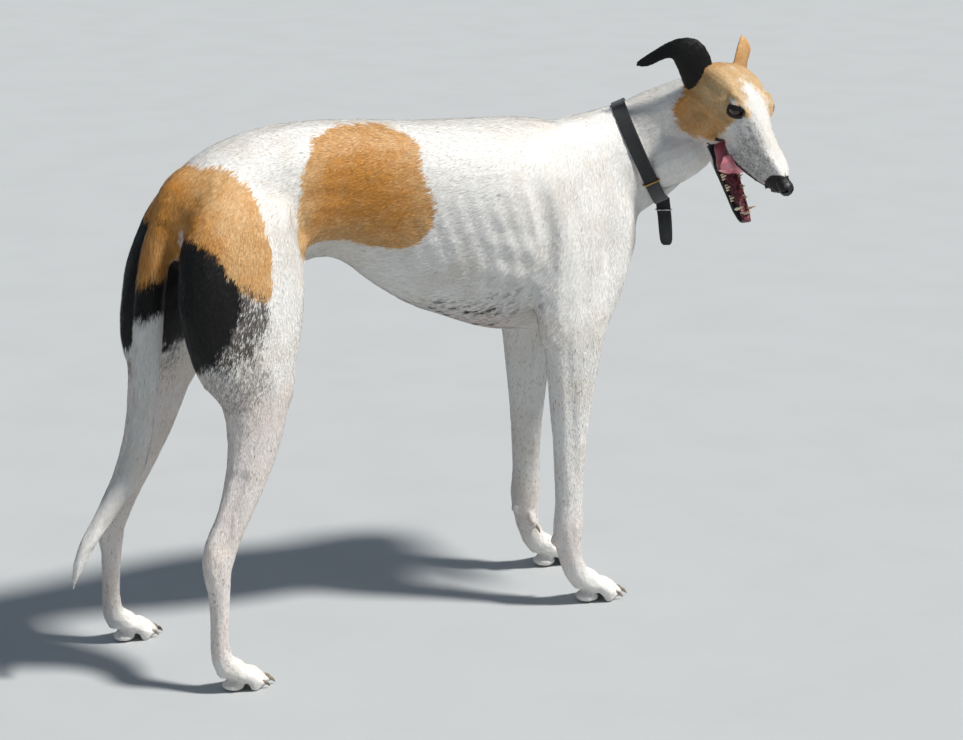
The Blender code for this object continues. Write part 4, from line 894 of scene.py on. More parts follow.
def streaks(tree, where, length, width):
    """Noise drawn out along the coat, so many millimetres long and wide."""
    total, weight = None, None
    for way in WAYS:
        turn = Vector(way).to_track_quat("X", "Z").inverted().to_euler()
        along = add(tree, "Mapping", {"Vector": where, "Rotation": turn}, vector_type="POINT")
        drawn = add(tree, "Mapping", {"Vector": along, "Scale": (width / length, 1, 1)}, vector_type="POINT")
        grain = noise(tree, drawn, width, 3.0, 0.6)
        lie_at = add(tree, "Attribute", out=1, attribute_name="lie")
        match = add(tree, "VectorMath", {0: lie_at, 1: way}, out=1, operation="DOT_PRODUCT")
        share = maths(tree, "POWER", maths(tree, "ABSOLUTE", match), 12.0)
        part = maths(tree, "MULTIPLY", grain, share)
        total = part if total is None else maths(tree, "ADD", total, part)
        weight = share if weight is None else maths(tree, "ADD", weight, share)
    return maths(tree, "DIVIDE", total, maths(tree, "MAXIMUM", weight, 0.001))


def coat_colour(tree, where, hairs):
    """The colour of the hair at a place. Hairs, near a half, breaks up the edges between the patches."""
    wide, fine = noise(tree, where, 16.0, 2.0), noise(tree, where, 3.4, 3.0, 0.65)
    jag = maths(tree, "MULTIPLY", maths(tree, "SUBTRACT", wide, 0.5), 12.0)
    jag = maths(tree, "ADD", jag, maths(tree, "MULTIPLY", maths(tree, "SUBTRACT", fine, 0.5), 7.0))
    jag = maths(tree, "ADD", jag, maths(tree, "MULTIPLY", maths(tree, "SUBTRACT", hairs, 0.5), 5.0))

    def patch(name, soft, ragged=1.0):
        return between(tree, maths(tree, "ADD", mark(tree, name), maths(tree, "MULTIPLY", jag, ragged)), -soft, soft)

    tick = mark(tree, "tick")
    # White hair, creamier in places, with the skin showing through where the coat is thinnest
    white = blend(tree, between(tree, noise(tree, where, 60.0), 0.40, 0.75, 0.0, 0.55), WHITE, CREAM)
    bare = maths(tree, "MULTIPLY", mark(tree, "bare"), between(tree, fine, 0.25, 0.75, 0.25, 0.75))
    white = blend(tree, bare, white, BARE_SKIN)
    # Ticking: flecks of grey as wide as a few hairs
    fleck = maths(tree, "ADD", maths(tree, "MULTIPLY", noise(tree, where, 2.6, 3.0, 0.7), 0.6),
                  maths(tree, "MULTIPLY", hairs, 0.4))
    limit = maths(tree, "SUBTRACT", 0.70, maths(tree, "MULTIPLY", tick, 0.24))
    fleck = between(tree, maths(tree, "SUBTRACT", fleck, limit), -0.02, 0.06, 0.0, 0.75)
    white = blend(tree, maths(tree, "MULTIPLY", fleck, between(tree, tick, 0.02, 0.12)), white, GREY_HAIR)
    # Round spots on the belly
    cell = add(tree, "TexVoronoi", {"Vector": where, "Scale": 1 / (17 * MM), "Randomness": 1.0})
    spot = between(tree, maths(tree, "ADD", cell, maths(tree, "MULTIPLY", fine, 0.25)), 0.33, 0.42, 1.0, 0.0)
    white = blend(tree, maths(tree, "MULTIPLY", spot, mark(tree, "spot")), white, DARK_HAIR)
    # Fawn, which deepens along the saddle and the rump
    depth = maths(tree, "ADD", mark(tree, "deep"), between(tree, wide, 0.3, 0.7, -0.16, 0.16), use_clamp=True)
    fawn = blend(tree, depth, PALE_FAWN, RICH_FAWN)
    shade = between(tree, hairs, 0.30, 0.62, 0.30, 0.0)
    fawn = blend(tree, shade, fawn, blend(tree, 0.45, RICH_FAWN, DARK_HAIR))
    made = blend(tree, patch("fawn", 1.3), white, fawn)
    # Roan: dark hairs through the fawn and the white
    roan = mark(tree, "roan")
    dark_hairs = maths(tree, "ADD", maths(tree, "MULTIPLY", hairs, 0.55), maths(tree, "MULTIPLY", fine, 0.45))
    limit = maths(tree, "SUBTRACT", 0.78, maths(tree, "MULTIPLY", roan, 0.42))
    mixed = between(tree, maths(tree, "SUBTRACT", dark_hairs, limit), -0.03, 0.08, 0.0, 0.9)
    made = blend(tree, maths(tree, "MULTIPLY", mixed, between(tree, roan, 0.02, 0.2)), made, DARK_HAIR)
    return blend(tree, patch("black", 3.2, 1.6), made, BLACK_HAIR)


def bare_parts(tree, base, where):
    """Adds the dark rims and lips, and the inside of the mouth darkened as painted shade, and returns the colour and
    both shares.
    """
    fine = maths(tree, "SUBTRACT", noise(tree, where, 1.6, 2.0), 0.5)
    dark = maths(tree, "ADD", mark(tree, "dark"), maths(tree, "MULTIPLY", fine, 2.4))
    dark = between(tree, dark, -0.5, 0.7)
    flesh = maths(tree, "ADD", mark(tree, "flesh"), maths(tree, "MULTIPLY", fine, 1.5))
    flesh = between(tree, flesh, -0.4, 0.4)
    # The mouth's pink and dark gum mottle, darkened overall as painted shade inside the mouth
    shaded_gums = blend(tree, between(tree, noise(tree, where, 5.0, 3.0), 0.35, 0.65), SHADED_MOUTH, SHADED_DARK_GUM)
    made = blend(tree, dark, base, DARK_SKIN)
    return blend(tree, flesh, made, shaded_gums), dark, flesh


# %% Skin material
def skin_material():
    # Hide under the coat: the coat's own colour, with hair drawn as fine relief and painted shade in its low streaks
    made, tree, shader = new_material("white_coat")
    where = add(tree, "TexCoord", out=3)
    hairs = streaks(tree, where, 9.0, 0.7)
    base, dark, flesh = bare_parts(tree, coat_colour(tree, where, hairs), where)
    # Painted shade: the colour is multiplied darker where the hair streaks are low, as if shaded between hairs
    deep = blend(tree, between(tree, hairs, 0.3, 0.65, 0.35, 0.0), base, colour("#8C8078"), "MULTIPLY")
    wet = maths(tree, "MAXIMUM", maths(tree, "MULTIPLY", dark, 0.55), flesh)
    pores = maths(tree, "MULTIPLY", noise(tree, where, 1.1, 2.0), 0.3)
    relief = add(tree, "Mix", {0: wet, 2: hairs, 3: pores}, data_type="FLOAT")
    dress(tree, shader, Base_Color=deep, Roughness=between(tree, wet, 0.0, 1.0, 0.62, 0.33),
          Normal=bumped(tree, relief, 0.35), Subsurface_Weight=0.06, Subsurface_Scale=0.004,
          Subsurface_Radius=(1.0, 0.35, 0.2), Sheen_Weight=0.06, Sheen_Roughness=0.45,
          Specular_IOR_Level=0.35)
    return made


def coat_material():
    # Hair: each blade has a tone of its own, with painted shade darkening its root and a painted highlight lightening
    # it towards its tip
    made, tree, shader = new_material("coat_hair")
    where = add(tree, "Attribute", out=1, attribute_name="root")
    tone = mark(tree, "tone")
    along = mark(tree, "along")
    base = coat_colour(tree, where, tone)
    base, dark, _ = bare_parts(tree, base, where)
    # Painted shade at the root and a painted highlight towards the tip, times the blade's own tone
    shade = maths(tree, "MULTIPLY", between(tree, along, 0.0, 0.7, 0.90, 1.04),
                  between(tree, tone, 0.0, 1.0, 0.90, 1.07))
    base = add(tree, "VectorMath", {0: base, 3: shade}, operation="SCALE")
    grain = noise(tree, add(tree, "TexCoord", out=3), 0.5, 2.0)
    dress(tree, shader, Base_Color=base, Roughness=between(tree, dark, 0.0, 1.0, 0.56, 0.40),
          Normal=bumped(tree, grain, 0.05), Sheen_Weight=0.06, Sheen_Roughness=0.4,
          Specular_IOR_Level=0.35)
    return made


SKIN_HAIR, COAT_HAIR = skin_material(), coat_material()
skin.data.materials.clear()
skin.data.materials.append(SKIN_HAIR)
held = skin.data.attributes.new("lie", "FLOAT_VECTOR", "POINT")
held.data.foreach_set("vector", LIE.astype(np.float32).ravel())
print("materials", len(bpy.data.materials))

# %% [markdown]
# ## The coat
# A greyhound's coat is short, fine and close. Each tuft is three thin blades of five points, rooted just under the
# skin and laid along it, so that they overlap like the real hair. Tufts are longest under the tail and behind the
# thighs, and smallest on the face and the feet. They are spread evenly by area over the skin's triangles.

# %% Where the tufts go, and their sizes
SEED = np.random.default_rng(7)
# Length, half width, lift of the tip and spread of the blades, in millimetres, on each solid
SIZES = {"torso": (10.0, 0.42, 0.55, 1.3), "neck": (8.0, 0.36, 0.45, 1.1), "thigh": (9.0, 0.40, 0.50, 1.2),
         "lower": (7.5, 0.34, 0.40, 1.0), "forearm": (6.5, 0.31, 0.35, 0.8), "fore_pastern": (5.0, 0.27, 0.30, 0.7),
         "hind_pastern": (5.5, 0.28, 0.30, 0.7), "fore_paw": (4.0, 0.24, 0.22, 0.6), "hind_paw": (4.0, 0.24, 0.22, 0.6),
         "head": (4.2, 0.20, 0.22, 0.6), "lower_jaw": (3.6, 0.19, 0.20, 0.5), "ear": (4.0, 0.20, 0.22, 0.6),
         "tail": (11.0, 0.36, 0.60, 1.0)}
PAWS = ("fore_paw", "hind_paw")
# Each coat piece: the solids that it covers, which side (0 is both), and how many tufts
REGIONS = (("coat_head", ("head", "lower_jaw", "ear"), 0, 22000), ("coat_neck", ("neck",), 0, 15000),
           ("coat_trunk_right", ("torso",), -1, 22000), ("coat_trunk_left", ("torso",), 1, 22000),
           ("coat_thigh_right", ("thigh", "lower_thigh", "tail"), -1, 20000),
           ("coat_thigh_left", ("thigh", "lower_thigh", "tail"), 1, 18000),
           ("coat_legs", ("forearm", "fore_pastern", "hind_pastern", *PAWS), 0, 22000))


def triangles_of(mesh):
    mesh.calc_loop_triangles()
    flat = np.empty(len(mesh.loop_triangles) * 3, np.int32)
    mesh.loop_triangles.foreach_get("vertices", flat)
    return flat.reshape(-1, 3)


TRIANGLES = triangles_of(skin.data)
CORNERS = POINTS[TRIANGLES]
AREAS = np.linalg.norm(np.cross(CORNERS[:, 1] - CORNERS[:, 0], CORNERS[:, 2] - CORNERS[:, 0]), axis=1) / 2
FACE_OWNER = OWNER[TRIANGLES[:, 0]]
SKIN_TREE = BVHTree.FromPolygons(POINTS.tolist(), TRIANGLES.tolist())


def hairy():
    """How thickly each point is haired: not at all in the mouth, on the lids' rims, the nose or the pads."""
    bald = np.maximum(ramp(MARKS["flesh"], -0.8, 0.4), ramp(MARKS["dark"], -0.2, 0.8))
    pads = ramp(0.006 - POINTS[:, 2], 0, 0.002) * ramp(-NORMALS[:, 2], 0.3, 0.7)
    return np.clip(1 - np.maximum(bald, pads), 0, 1)


HAIRY = hairy()


def measures():
    """The four sizes of a tuft at each point, evened out so that lengths change slowly."""
    table = np.zeros((len(POINTS), 4))
    for number, node in enumerate(FLESH):
        key = max((key for key in SIZES if node.startswith(key)), key=len)
        table[OWNER == number] = SIZES[key]
    table = spread(table, EDGES, 12)
    x, y, z = POINTS.T
    # Longer under the tail, behind the thighs, and along the keel of the chest
    fringe = on("tail_root", "tail_middle", "tail") * ramp(-NORMALS[:, 0], 0.1, 0.7) * ramp(z, 0.30, 0.42)
    fringe *= ramp(0.62 - z, 0, 0.03)
    breech = on("thigh") * ramp(-NORMALS[:, 0], 0.5, 0.9) * ramp(0.58 - z, 0, 0.05)
    keel = on("torso") * ramp(-NORMALS[:, 2], 0.75, 0.95) * ramp(x, -0.12, 0.0)
    table[:, 0] *= 1 + 0.9 * fringe + 0.5 * breech + 0.25 * keel
    table[:, 2] *= 1 + 5.0 * fringe + 2.2 * breech + 0.8 * keel
    return table


MEASURES = measures()
print("haired share", round(float(HAIRY.mean()), 2))

# %% [markdown]
# A tuft's blades start in a short row across the lie, and their middles and tips are put back on the skin before
# they are lifted, so that none stands off a hollow or sinks into a bulge. They carry the skin's own normals, leaning
# a little at random, which gives the coat its sheen in streaks without breaking up the form.

# %% Growing the tufts
CELLS = {node: (number % 5, number // 5) for number, node in enumerate(FLESH)}
PATCH = 0.003


def unwrap(points, owners):
    """A flat map of the skin: each solid has its own cell, round its axis one way and along it the other."""
    flat = np.zeros((len(points), 2))
    for number, node in enumerate(FLESH):
        mine = owners == number
        if not mine.any():
            continue
        at = points[mine]
        if node.startswith(("head", "lower_jaw", "ear")):
            at = into(HEAD, at)
        if node.startswith(("torso", "neck", "head", "lower_jaw")):
            along, one, two = at[:, 0], at[:, 1], at[:, 2]
        else:
            along, one, two = at[:, 2], at[:, 0], at[:, 1]
        low, high = along.min(), along.max()
        place = np.clip((along - low) / max(high - low, 1e-6), 0, 1)
        # The axis bends with the limb: a running mean of the points gives its line
        step = np.minimum((place * 12).astype(int), 11)
        count = np.maximum(np.bincount(step, minlength=12), 1)
        middle = [np.bincount(step, side, 12) / count for side in (one, two)]
        angle = np.arctan2(two - middle[1][step], one - middle[0][step]) / (2 * pi) + 0.5
        column, row = CELLS[node]
        flat[mine, 0] = (column + 0.02 + 0.96 * angle) / 5 * 0.998
        flat[mine, 1] = (row + 0.02 + 0.96 * place) / 5 * 0.998
    return flat


def scatter(count, faces):
    """So many places, evenly by area and hair, as a triangle and three shares each."""
    weight = AREAS[faces] * HAIRY[TRIANGLES[faces]].mean(axis=1)
    # The neck's tufts and the trunk's are of one density, and the muzzle's and the feet's are closer
    total = np.cumsum(weight)
    wanted = (np.arange(count) + SEED.random(count)) / count * total[-1]
    picked = faces[np.searchsorted(total, wanted)]
    share = SEED.random((count, 2))
    over = share.sum(1) > 1
    share[over] = 1 - share[over]
    return picked, np.column_stack([1 - share.sum(1), share])


def at_roots(values, picked, share):
    corners = values[TRIANGLES[picked]]
    return np.einsum("ij,ij...->i...", share, corners)


def onto_skin(points):
    """The nearest places on the skin, and the normals there."""
    near, ways = np.empty_like(points), np.empty_like(points)
    for number, point in enumerate(points.tolist()):
        place, _, face, _ = SKIN_TREE.find_nearest(point)
        near[number] = place
        ways[number] = FACE_NORMALS[face]
    return near, ways


FACE_NORMALS = NORMALS[TRIANGLES].mean(axis=1)
FACE_NORMALS /= np.linalg.norm(FACE_NORMALS, axis=1)[:, None]


def unit(ways):
    return ways / np.maximum(np.linalg.norm(ways, axis=1), 1e-9)[:, None]


def grow(name, nodes, hand, count):
    faces = np.isin(FACE_OWNER, [number for number, node in enumerate(FLESH) if node.startswith(nodes)])
    if hand:
        faces &= (CORNERS[:, :, 1].mean(axis=1) - MIDLINE) * hand > 0
    faces = np.flatnonzero(faces)
    picked, share = scatter(count, faces)
    root = at_roots(POINTS, picked, share)
    normal = unit(at_roots(NORMALS, picked, share))
    way = at_roots(LIE, picked, share)
    sizes = at_roots(MEASURES, picked, share) * MM
    way = unit(way - normal * (way * normal).sum(1)[:, None])
    across = np.cross(normal, way)
    verts, leans, tones = [], [], []
    tuft_tone = SEED.random(count)
    for blade in range(3):
        aim = unit(way + across * ((blade - 1) * 0.10 + SEED.normal(0, 0.10, count))[:, None])
        side = np.cross(normal, aim)
        start = root + across * ((blade - 1) * sizes[:, 3] * 0.5 + SEED.normal(0, 0.2 * MM, count))[:, None]
        start += aim * (SEED.normal(0, 0.15, count) * sizes[:, 0])[:, None]
        length = sizes[:, 0] * SEED.uniform(0.75, 1.15, count)
        lift = sizes[:, 2] * SEED.uniform(0.45, 1.35, count)
        half = sizes[:, 1] * SEED.uniform(0.75, 1.2, count)
        middle, at_middle = onto_skin(start + aim * (0.5 * length)[:, None])
        tip, at_tip = onto_skin(start + aim * length[:, None])
        low = start - normal * (0.25 * MM)
        middle += at_middle * (0.25 * MM + 0.45 * lift)[:, None]
        tip += at_tip * (0.10 * MM + lift)[:, None]
        rows = [low - side * (0.7 * half)[:, None], low + side * (0.7 * half)[:, None],
                middle - side * half[:, None], middle + side * half[:, None], tip]
        verts.append(np.stack(rows, 1))
        lean = (aim * SEED.normal(-0.06, 0.07, count)[:, None] + side * SEED.normal(0, 0.12, count)[:, None])
        leans.append(np.stack([unit(normal + lean)] * 2 + [unit(at_middle + lean)] * 2 + [unit(at_tip + lean)], 1))
        tones.append(0.5 + (tuft_tone - 0.5) * 0.45 + SEED.normal(0, 0.13, count))
    verts = np.stack(verts, 1).reshape(-1, 3)
    leans = np.stack(leans, 1).reshape(-1, 3)
    tones = np.repeat(np.clip(np.stack(tones, 1), 0, 1).reshape(-1), 5)
    mesh = bpy.data.meshes.new(name)
    blades = count * 3
    first = np.arange(blades)[:, None] * 5
    loops = (first + np.array([1, 0, 2, 3, 3, 2, 4])).ravel().astype(np.int32)
    mesh.vertices.add(len(verts))
    mesh.vertices.foreach_set("co", verts.astype(np.float32).ravel())
    mesh.loops.add(len(loops))
    mesh.loops.foreach_set("vertex_index", loops)
    mesh.polygons.add(blades * 2)
    starts = (np.arange(blades)[:, None] * 7 + np.array([0, 4])).ravel().astype(np.int32)
    mesh.polygons.foreach_set("loop_start", starts)
    mesh.polygons.foreach_set("use_smooth", np.ones(blades * 2, bool))
    mesh.update(calc_edges=True)
    mesh.normals_split_custom_set_from_vertices(leans)
    keep(mesh, {key: np.repeat(at_roots(value, picked, share), 15) for key, value in MARKS.items()})
    keep(mesh, {"tone": tones, "along": np.tile([0, 0, 0.5, 0.5, 1.0], blades)})
    held = mesh.attributes.new("root", "FLOAT_VECTOR", "POINT")
    held.data.foreach_set("vector", np.repeat(root, 15, axis=0).astype(np.float32).ravel())
    # The patch of each tuft on the flat map: three strips side by side, from root to tip
    flat = np.repeat(unwrap(root, FACE_OWNER[picked]), 21, axis=0)
    strip = np.array([[1, 0], [0, 0], [0, 0.5], [1, 0.5], [1, 0.5], [0, 0.5], [0.5, 1]])
    patch = np.concatenate([(strip + (blade, 0)) * (PATCH / 3, PATCH) for blade in range(3)])
    layer = mesh.uv_layers.new(name="OFBake")
    layer.uv.foreach_set("vector", (flat + np.tile(patch, (count, 1))).astype(np.float32).ravel())
    return link(mesh, name, [COAT_HAIR])


coats = [grow(*region) for region in REGIONS]
for piece in coats:
    print(piece.name, len(piece.data.polygons) // 2 * 3, "triangles")

# %% [markdown]
# ## Eyes
# A real eye is a ball with a clear bulge in front. Here one closed ball carries both: its front swells by the
# height of the cornea, and its material paints pupil, iris and white by the distance from the line of sight, under
# a clear wet layer. It sits behind the lids, as deep as the real one.


# %% Lofts and eyes
def loft(bm, rings, around=True, caps=True):
    """Faces between rings of points, which run round each ring and from ring to ring."""
    made = [[bm.verts.new(point) for point in ring] for ring in rings]
    count = len(made[0])
    for low, high in zip(made, made[1:] + ([made[0]] if not caps else [])):
        for number in range(count if around else count - 1):
            after = (number + 1) % count
            bm.faces.new((low[number], low[after], high[after], high[number]))
    if caps:
        bm.faces.new(reversed(made[0]))
        bm.faces.new(made[-1])
    bmesh.ops.recalc_face_normals(bm, faces=bm.faces)
    return made


def eye_material():
    # Eye: dark brown iris with darker fibres, under the clear wet cornea
    made, tree, shader = new_material("eye")
    out = mark(tree, "out")
    where = add(tree, "TexCoord", out=3)
    fibre = noise(tree, where, 0.55, 4.0, 0.7)
    iris = blend(tree, fibre, colour("#1E0F08"), colour("#4A2A14"))
    iris = blend(tree, between(tree, out, 5.6, 7.0), iris, colour("#0D0705"))
    white = blend(tree, noise(tree, where, 1.8, 3.0), colour("#6E564A"), colour("#3A241C"))
    base = blend(tree, between(tree, out, 6.9, 7.5), iris, white)
    base = blend(tree, between(tree, out, 2.7, 3.1), colour("#020202"), base)
    dress(tree, shader, Base_Color=base, Roughness=0.16, Coat_Weight=0.35, Coat_Roughness=0.03,
          Normal=bumped(tree, noise(tree, where, 3.0), 0.02))
    return made


EYE = eye_material()
eyes = []
for hand, word in SIDES:
    bm = bmesh.new()
    bmesh.ops.create_uvsphere(bm, u_segments=48, v_segments=32, radius=EYE_RADIUS,
                              matrix=Matrix.Rotation(pi / 2, 4, "Y"))
    outs = []
    for vert in bm.verts:
        out = (vert.co.y ** 2 + vert.co.z ** 2) ** 0.5 if vert.co.x > 0 else EYE_RADIUS
        outs.append(out / MM)
        vert.co *= 1 + 0.075 * max(0, 1 - (out / 0.0062) ** 2)
    bmesh.ops.transform(bm, verts=bm.verts, matrix=eye_frame(hand))
    ball_made = as_object(bm, "eye_ball_" + word, [EYE])
    keep(ball_made.data, {"out": outs})
    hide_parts("eye_" + word)
    eyes.append(ball_made)
print("eyes", len(eyes))

# %% [markdown]
# ## Nose
# The nose is a soft pad with a pebbled, moist surface. Its comma nostrils open forward and trail off to the side,
# and a groove runs down its middle. A ball is shaped to the pad's rows, and the nostrils are cut with small balls.

# %% Nose
NOSE = HEAD @ Matrix.Translation((0.1235, 0, -0.0330))
NOSE_ROWS = ((-0.0125, -0.011, -0.004, 0.003, 0.0075, 0.0102, 0.0116), (0.0, 0.0100, 0.0113, 0.0114, 0.0102, 0.0078, 0.0),
             (0.0, 0.0100, 0.0109, 0.0106, 0.0092, 0.0068, 0.0), (0.001, 0.001, 0.0005, 0.0, -0.0005, -0.001, -0.001))


def nose_material():
    # Nose leather: black, pebbled in cells about a millimetre across, with painted shade in the grooves between them,
    # and moist
    made, tree, shader = new_material("nose_leather")
    where = add(tree, "TexCoord", out=3)
    cells = add(tree, "TexVoronoi", {"Vector": where, "Scale": 1 / (1.1 * MM)}, feature="DISTANCE_TO_EDGE")
    pebble = between(tree, cells, 0.0, 0.28)
    cloud = noise(tree, where, 6.0, 3.0)
    base = blend(tree, cloud, colour("#0E0D0D"), colour("#211E1E"))
    # Painted shade: the grooves between the pebbles are darker
    base = blend(tree, pebble, colour("#050505"), base)
    dress(tree, shader, Base_Color=base, Roughness=between(tree, cloud, 0.3, 0.7, 0.26, 0.42),
          Normal=bumped(tree, pebble, 0.12))
    return made


def nose_piece():
    bm = bmesh.new()
    bmesh.ops.create_uvsphere(bm, u_segments=72, v_segments=56, radius=1, matrix=Matrix.Rotation(pi / 2, 4, "Y"))
    for vert in bm.verts:
        x, y, z = vert.co
        at = NOSE_ROWS[0][0] + (x + 1) / 2 * (NOSE_ROWS[0][-1] - NOSE_ROWS[0][0])
        wide, high, rise = (float(np.interp(at, NOSE_ROWS[0], row)) for row in NOSE_ROWS[1:])
        round_by = max((y * y + z * z) ** 0.5, 1e-6)
        y, z = y / round_by * wide, z / round_by * high + rise
        front = float(np.clip(at / 0.008, 0, 1))
        at -= 0.0009 * front * max(0, 1 - (y / 0.0014) ** 2) * float(np.clip((0.0035 - z) / 0.004, 0, 1))
        vert.co = (at, y * (1 - 0.10 * max(0, -z / 0.010)), z)
    bmesh.ops.transform(bm, verts=bm.verts, matrix=NOSE)
    made = as_object(bm, "nose_pad")
    for hand, _ in SIDES:
        steps = [((0.0120, hand * 0.0043, 0.0012), 0.0024), ((0.0095, hand * 0.0050, 0.0014), 0.0027),
                 ((0.0065, hand * 0.0058, 0.0014), 0.0027), ((0.0095, hand * 0.0074, -0.0006), 0.0015),
                 ((0.0082, hand * 0.0090, -0.0020), 0.0012), ((0.0062, hand * 0.0103, -0.0032), 0.0010)]
        for place, radius in steps:
            combine(made, ball(NOSE @ Matrix.Translation(place), radius, 20), "DIFFERENCE")
    soften(made.data, 3, np.full(len(made.data.vertices), 0.6))
    made.data.materials.clear()
    made.data.materials.append(nose_material())
    return made


nose = nose_piece()
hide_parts("nose")
print("nose", len(nose.data.polygons), "faces")

# %% [markdown]
# ## Mouth
# Canines, small front teeth and saw-like cheek teeth stand in both jaws, each a bent cone with a swollen neck. The
# tongue lies in the lower jaw and laps over the lip on the dog's right, thin at its edge and grooved down its middle.


# %% Teeth
def tooth(bm, frame_of, start, end, wide, tip, lean=0.0):
    """A cone that swells above the gum and bends backward."""
    start, end = Vector(start), Vector(end)
    way = (end - start).normalized()
    side = way.cross(Vector((1, 0, 0))).normalized()
    other = way.cross(side)
    rings = []
    for step in range(7):
        share = step / 6
        place = start.lerp(end, share) + Vector((-lean * sin(pi * share / 2) ** 2, 0, 0))
        size = wide * (1 - share) ** 0.75 * (1 + 0.18 * sin(pi * min(1, share * 2))) + tip * share
        rings.append([frame_of @ (place + side * size * cos(a) + other * size * 0.85 * sin(a))
                      for a in (2 * pi * n / 12 for n in range(12))])
    loft(bm, rings)


def tooth_material():
    # Tooth: ivory enamel, yellower in cloudy patches, with a fine grain
    made, tree, shader = new_material("tooth")
    where = add(tree, "TexCoord", out=3)
    base = blend(tree, noise(tree, where, 2.5, 3.0), colour("#F0E6CF"), colour("#D9C496"))
    dress(tree, shader, Base_Color=base, Roughness=between(tree, noise(tree, where, 1.2), 0.3, 0.7, 0.18, 0.30),
          Normal=bumped(tree, noise(tree, where, 0.5, 3.0), 0.03), Subsurface_Weight=0.15,
          Subsurface_Scale=0.002, Coat_Weight=0.4)
    return made


def teeth_piece():
    bm = bmesh.new()
    for hand, _ in SIDES:
        tooth(bm, JAW, (0.0985, hand * 0.0110, -0.0530), (0.1040, hand * 0.0120, -0.0355), 0.0028, 0.0004, 0.0016)
        tooth(bm, HEAD, (0.0995, hand * 0.0080, -0.0370), (0.1030, hand * 0.0088, -0.0535), 0.0027, 0.0004, 0.0018)
        for n in range(3):
            low = (0.1068 - 0.001 * n, hand * (0.0014 + 0.0027 * n))
            tooth(bm, JAW, (*low, -0.0530), (low[0] + 0.0025, low[1], -0.0435), 0.0014, 0.0007)
            high = (0.1065 - 0.0012 * n, hand * (0.0013 + 0.0023 * n))
            tooth(bm, HEAD, (*high, -0.0370), (high[0] + 0.0010, high[1], -0.0470), 0.0013, 0.0007)
        for n in range(4):
            x, y = 0.082 - 0.0165 * n, hand * (0.0130 + 0.0013 * n)
            for shift, tall in ((0.0, 1.0), (-0.0034, 0.52), (0.0034, 0.48)):
                top = -0.0530 + (0.0066 + 0.0011 * n) * tall
                tooth(bm, JAW, (x + shift, y, -0.0535), (x + shift + 0.001, y, top), 0.0021, 0.0004)
            x, y = 0.084 - 0.0165 * n, hand * (0.0114 + 0.0015 * n)
            for shift, tall in ((0.0, 1.0), (-0.0042, 0.66), (0.0040, 0.60)):
                top = -0.0380 - (0.0105 + 0.0005 * n) * tall
                tooth(bm, HEAD, (x + shift, y, -0.0370), (x + shift, y, top), 0.0024, 0.0004)
    return as_object(bm, "teeth", [tooth_material()])


teeth = teeth_piece()
print("teeth", len(teeth.data.polygons), "faces")

# %% Tongue
TONGUE_ROWS = (((-0.022, 0, -0.0480), 0.0110, 0.0050), ((0, -0.002, -0.0475), 0.0125, 0.0050),
               ((0.022, -0.006, -0.0450), 0.0150, 0.0046), ((0.042, -0.011, -0.0390), 0.0185, 0.0042),
               ((0.053, -0.018, -0.0280), 0.0212, 0.0038), ((0.052, -0.024, -0.0170), 0.0210, 0.0034),
               ((0.043, -0.028, -0.0110), 0.0180, 0.0030), ((0.033, -0.028, -0.0120), 0.0110, 0.0024))


def tongue_material():
    # Tongue: pink, velvety with fine buds, with painted shade along its groove, and wet
    made, tree, shader = new_material("tongue")
    where = add(tree, "TexCoord", out=3)
    buds = add(tree, "TexVoronoi", {"Vector": where, "Scale": 1 / (0.8 * MM)})
    cloud = noise(tree, where, 7.0, 3.0)
    base = blend(tree, between(tree, cloud, 0.3, 0.7), colour("#E99AA4"), colour("#DB7C88"))
    # Painted shade along the middle groove
    base = blend(tree, between(tree, mark(tree, "groove"), 0.2, 1.0, 0.0, 0.55), base, colour("#9C4654"))
    base = blend(tree, between(tree, buds, 0.0, 0.5, 0.25, 0.0), base, colour("#EDB4B8"))
    dress(tree, shader, Base_Color=base, Roughness=between(tree, cloud, 0.3, 0.7, 0.22, 0.38),
          Normal=bumped(tree, buds, 0.10), Subsurface_Weight=0.25, Subsurface_Scale=0.006,
          Subsurface_Radius=(1.0, 0.3, 0.25), Coat_Weight=0.35, Coat_Roughness=0.12)
    return made


def tongue_piece():
    table = np.array([(*place, wide, deep) for place, wide, deep in TONGUE_ROWS])
    step = np.linspace(0, len(table) - 1, 44)
    rows = np.stack([np.interp(step, range(len(table)), column) for column in table.T], 1)
    for _ in range(3):
        rows[1:-1] = 0.5 * rows[1:-1] + 0.25 * (rows[:-2] + rows[2:])
    side = HEAD.to_3x3() @ Vector((0.3, 0.9, 0.2)).normalized()
    places = [JAW @ Vector(row[:3]) for row in rows]
    bm = bmesh.new()
    grooves, rings = [], []
    for number, place in enumerate(places):
        way = (places[min(number + 1, 43)] - places[max(number - 1, 0)]).normalized()
        across = (side - way * side.dot(way)).normalized()
        up = across.cross(way)
        wide, deep = rows[number, 3:]
        wave = 1 + 0.04 * sin(number * 0.9)
        ring = []
        for turn in (2 * pi * n / 32 for n in range(32)):
            out, high = cos(turn), sin(turn)
            groove = max(0, 1 - abs(out) / 0.35) * (high > 0)
            thick = deep * (1 - 0.55 * abs(out) ** 3) * high - 0.0016 * groove
            ring.append(place + across * (wide * wave * out) + up * (thick - 0.0016 * out * out))
            grooves.append(groove)
        rings.append(ring)
    loft(bm, rings)
    made = as_object(bm, "tongue_skin", [tongue_material()])
    keep(made.data, {"groove": grooves})
    return modified(made, "SUBSURF", levels=1, render_levels=1)


tongue = tongue_piece()
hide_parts("tongue")
print("tongue", len(tongue.data.polygons), "faces")

# %% [markdown]
# ## Claws
# Each toe ends in a blunt horn claw that curves down towards the floor, and the forelegs carry a small dewclaw.

# %% Claws
PAWS_AT = ((0.2341, -0.0227, -1, 1.0), (0.2611, 0.1373, 1, 1.0), (-0.3509, -0.0627, -1, 0.92), (-0.4029, 0.1773, 1, 0.92))
TOES = ((0.028, 0.0175), (0.041, 0.0062), (0.041, -0.0062), (0.028, -0.0175))


